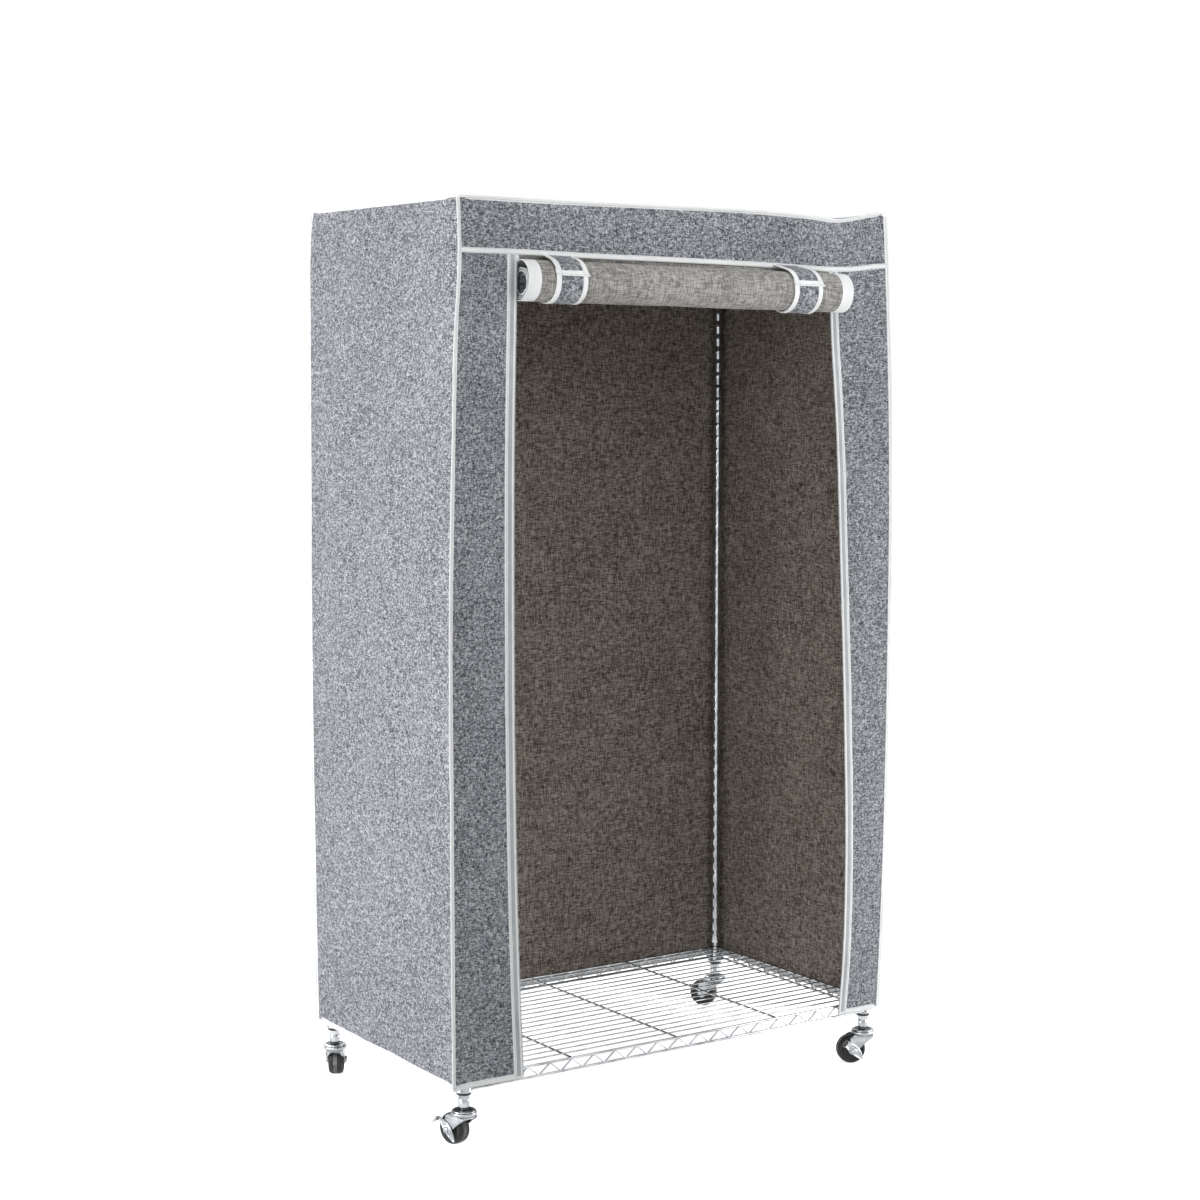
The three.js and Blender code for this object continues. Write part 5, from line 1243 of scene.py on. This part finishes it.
def makeLever(corner):   # a crescent with a raised oval round the bolt and a foot pad bent out at its high end
    span, middle = caster["leverHalf"], caster["leverMiddle"]
    padWidths = [1.8, 5.0, 6.8, 7.4, 6.6, 4.6, 3.2, 2.5]   # a round pad on a narrower neck
    along = [-span + step for step in (1.4, 1.0, 0.4, 0, -0.1, -0.1, 0.4, 1.7)]
    along = np.concatenate([along, np.linspace(-span + 3.2, span, 28)])
    lift = [caster["padOut"], caster["padOut"] - 0.9, 11.8, 8.8, 6.0, 3.4, 1.2, 0.2]
    lift = np.concatenate([lift, np.zeros(28)])[:, None]
    share = np.clip(along / span, -1, 1)
    width = 5.4 * np.clip(1 - np.abs(share) ** 2.0, 0.02, 1) ** 0.72
    width[:8] = padWidths
    width[8:11] = np.maximum(width[8:11], 2.3)
    bow = 4.0 * (1 - share ** 2)
    across = np.linspace(-1, 1, 15)
    outer = np.abs(across)[None, :]
    c = across[None, :] * width[:, None] - bow[:, None] * (across[None, :] < 0) * outer
    a = np.broadcast_to(along[:, None], c.shape)
    oval = np.clip(1 - (a / 9.5) ** 2 - ((c + 0.6) / 4.4) ** 2, 0, 1)
    rim = 1.1 * smoothStep(0.62, 0.84, outer) * (lift < 0.1) * smoothStep(0, 3.5, width)[:, None]
    out = lift + 1.6 * smoothStep(0, 0.45, oval) + rim - 0.8 * smoothStep(0.9, 1, outer) * rim
    turn = math.pi + caster["leverSlope"]
    x, z = a * math.cos(turn) + c * math.sin(turn), -a * math.sin(turn) + c * math.cos(turn)
    points = pointsOf(x + caster["trail"], middle + out, z + caster["wheelRadius"])
    return plateOf(f"foot_lever_{corner}", points, casterPlace(corner))


for corner in cornerSides:
    braked = corner.startswith("front")
    settle(makeStem(corner), "rack", "black_plastic", f"caster_stem_{corner}")
    settle(makeFork(corner), f"caster_{corner}", "zinc_steel", f"caster_fork_{corner}")
    settle(makeAxle(corner, braked), f"caster_{corner}", "zinc_steel", f"caster_axle_{corner}")
    settle(makeWheel(corner), f"wheel_{corner}", "wheel_rubber", f"caster_wheel_{corner}")
    if braked:
        settle(makeLever(corner), f"lever_{corner}", "zinc_steel", f"brake_lever_{corner}")
print("casters fitted")


# zip sliders: two rounded plates joined at the wedge, a bridge, and a hanging puller with its hole

sliderLook = {"width": 8, "height": 13, "depth": 6, "plate": 1.5, "puller": 24, "pullerWidth": 5}


def roundedPlate(outline, thickness, at, hole=None):   # painted, from its outline as x and z and its front's y
    ring = np.asarray(outline, float)
    loops = []
    for lift, inset in ((0, 0.35), (0.3, 0), (thickness - 0.3, 0), (thickness, 0.35)):
        centre = ring.mean(0)
        loops.append(np.insert(ring + inset * unit(centre - ring), 1, lift, axis=1))
    count = len(ring)
    if hole is not None:
        loops = [np.insert(hole, 1, 0, axis=1)] + loops + [np.insert(hole, 1, thickness, axis=1)]
    faces = list(gridFaces(len(loops), count, hole is not None, True))
    if hole is None:
        faces += [list(range(count)), list(range(3 * count, 4 * count))]
    return facesOut(newMesh("plate", toFrame(np.concatenate(loops) + [0, at, 0]), faces, [paintedZinc]))


def ovalOutline(halfX, halfZ, centre, power=3.2, count=28):
    turn = 2 * math.pi * np.arange(count) / count
    x, z = np.cos(turn), np.sin(turn)
    return np.stack([centre[0] + halfX * np.sign(x) * np.abs(x) ** (2 / power),
                     centre[1] + halfZ * np.sign(z) * np.abs(z) ** (2 / power)], -1)


for name, side in bothSides.items():
    low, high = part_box(f"zip_slider_{name}")
    low, high = np.array(low) * 1000 - shift, np.array(high) * 1000 - shift
    bodyX, bodyZ = (low[0] + high[0]) / 2, high[2] - sliderLook["height"] / 2
    tallness, depth, pullTall = sliderLook["height"] / 2, sliderLook["depth"], sliderLook["puller"] / 2
    front, back = low[1], low[1] + depth
    innerX = bodyX - side * (sliderLook["width"] / 2 - 1.2)
    body = ovalOutline(sliderLook["width"] / 2, tallness, (bodyX, bodyZ))
    core = ovalOutline(1.1, tallness - 0.8, (innerX, bodyZ))
    pull = ovalOutline(sliderLook["pullerWidth"] / 2, pullTall, (innerX + side * 1.4, low[2] + pullTall), 4)
    hole = ovalOutline(1.1, 2.6, (innerX + side * 1.4, low[2] + 6), 2.4)
    plate = sliderLook["plate"]
    parts = [roundedPlate(body, plate, start) for start in (front, back - plate)]
    parts += [roundedPlate(core, depth - 1, front + 0.5), roundedPlate(pull, 1.2, back - 0.4, hole)]
    settle(joined(f"zip_runner_{name}", parts), f"slider_{name}", "painted_zinc", f"zip_slider_{name}")
print("sliders on")


# camera, light and ground

cameraLook = {"place": (-2422.9, -3605.2, 1311.4), "turn": 0.591, "tilt": 0.101, "lens": 71.07, "sensor": 36, "far": 50}
camera = placed("camera", bpy.data.cameras.new("camera"))
camera.data.lens, camera.data.sensor_width = cameraLook["lens"], cameraLook["sensor"]
camera.data.clip_end = cameraLook["far"]
camera.location = toFrame(cameraLook["place"])
turn, tilt = cameraLook["turn"], cameraLook["tilt"]
forward = Vector((math.sin(turn) * math.cos(tilt), math.cos(turn) * math.cos(tilt), -math.sin(tilt)))
camera.rotation_euler = forward.to_track_quat("-Z", "Y").to_euler()
scene.camera = camera

lamps = {
    "keyLeft": {"place": (-3.8, 0.35, 0.65), "aim": (0, 0, 0.9), "size": 2.0, "power": 114},
    "fillRight": {"place": (1.2, -0.75, 0.45), "aim": (0.1, 0, 0.8), "size": 0.9, "power": 9.5},
    "fillMiddle": {"place": (0.1, -0.8, 1.7), "aim": (0.1, 0, 0.9), "size": 0.9, "power": 3.6},
    "fillLeft": {"place": (-2.2, -1.2, 1.5), "aim": (0.2, 0, 0.8), "size": 0.9, "power": 12},
    "behind": {"place": (0.6, 3.2, 2.6), "aim": (0, 0, 0.9), "size": 1.6, "power": 60},
}
for name, look in lamps.items():
    data = bpy.data.lights.new(name, "AREA")
    data.size = look["size"]
    data.energy = look["power"]
    lamp = placed(name, data)
    lamp.location = look["place"]
    lamp.rotation_euler = (Vector(look["aim"]) - Vector(look["place"])).to_track_quat("-Z", "Y").to_euler()
    lamp.visible_camera = False


def splitSight(owner, dim, plain, kind):   # one shader for the light on the object, another for what is seen of it
    tree = owner.node_tree
    rays = addNode(tree, "ShaderNodeLightPath").outputs
    seen = maths(tree, "MAXIMUM", rays["Is Camera Ray"], rays["Is Glossy Ray"])
    seen = maths(tree, "MAXIMUM", seen, rays["Is Transmission Ray"])
    addNode(tree, kind, {"Surface": addNode(tree, "ShaderNodeMixShader", {0: seen, 1: dim, 2: plain}).outputs[0]})


def emptied(owner):
    owner.use_nodes = True
    owner.node_tree.nodes.clear()
    return owner


backdrop = {"dim": 0.31, "seen": 1.0, "floorGlow": 0.79}
white = (1, 1, 1, 1)
scene.world = emptied(bpy.data.worlds.new("studio"))
dim, plain = (addNode(scene.world.node_tree, "ShaderNodeBackground", {
    "Color": white, "Strength": backdrop[key]}).outputs[0] for key in ("dim", "seen"))
splitSight(scene.world, dim, plain, "ShaderNodeOutputWorld")

floorMaterial = emptied(bpy.data.materials.new("paleFloor"))
tree = floorMaterial.node_tree
matt = addNode(tree, "ShaderNodeBsdfDiffuse", {"Color": (0.85, 0.85, 0.85, 1)}).outputs[0]
glow = addNode(tree, "ShaderNodeEmission", {"Color": white, "Strength": backdrop["floorGlow"]}).outputs[0]
lit = addNode(tree, "ShaderNodeAddShader", {0: matt, 1: glow}).outputs[0]
splitSight(floorMaterial, matt, lit, "ShaderNodeOutputMaterial")
ground = bpy.data.meshes.new("ground")
ground.from_pydata([(-30, -30, 0), (30, -30, 0), (30, 30, 0), (-30, 30, 0)], [], [(0, 1, 2, 3)])
ground.materials.append(floorMaterial)
floor = placed("ground", ground)
scene.view_settings.view_transform = "Standard"
print("camera and light set")
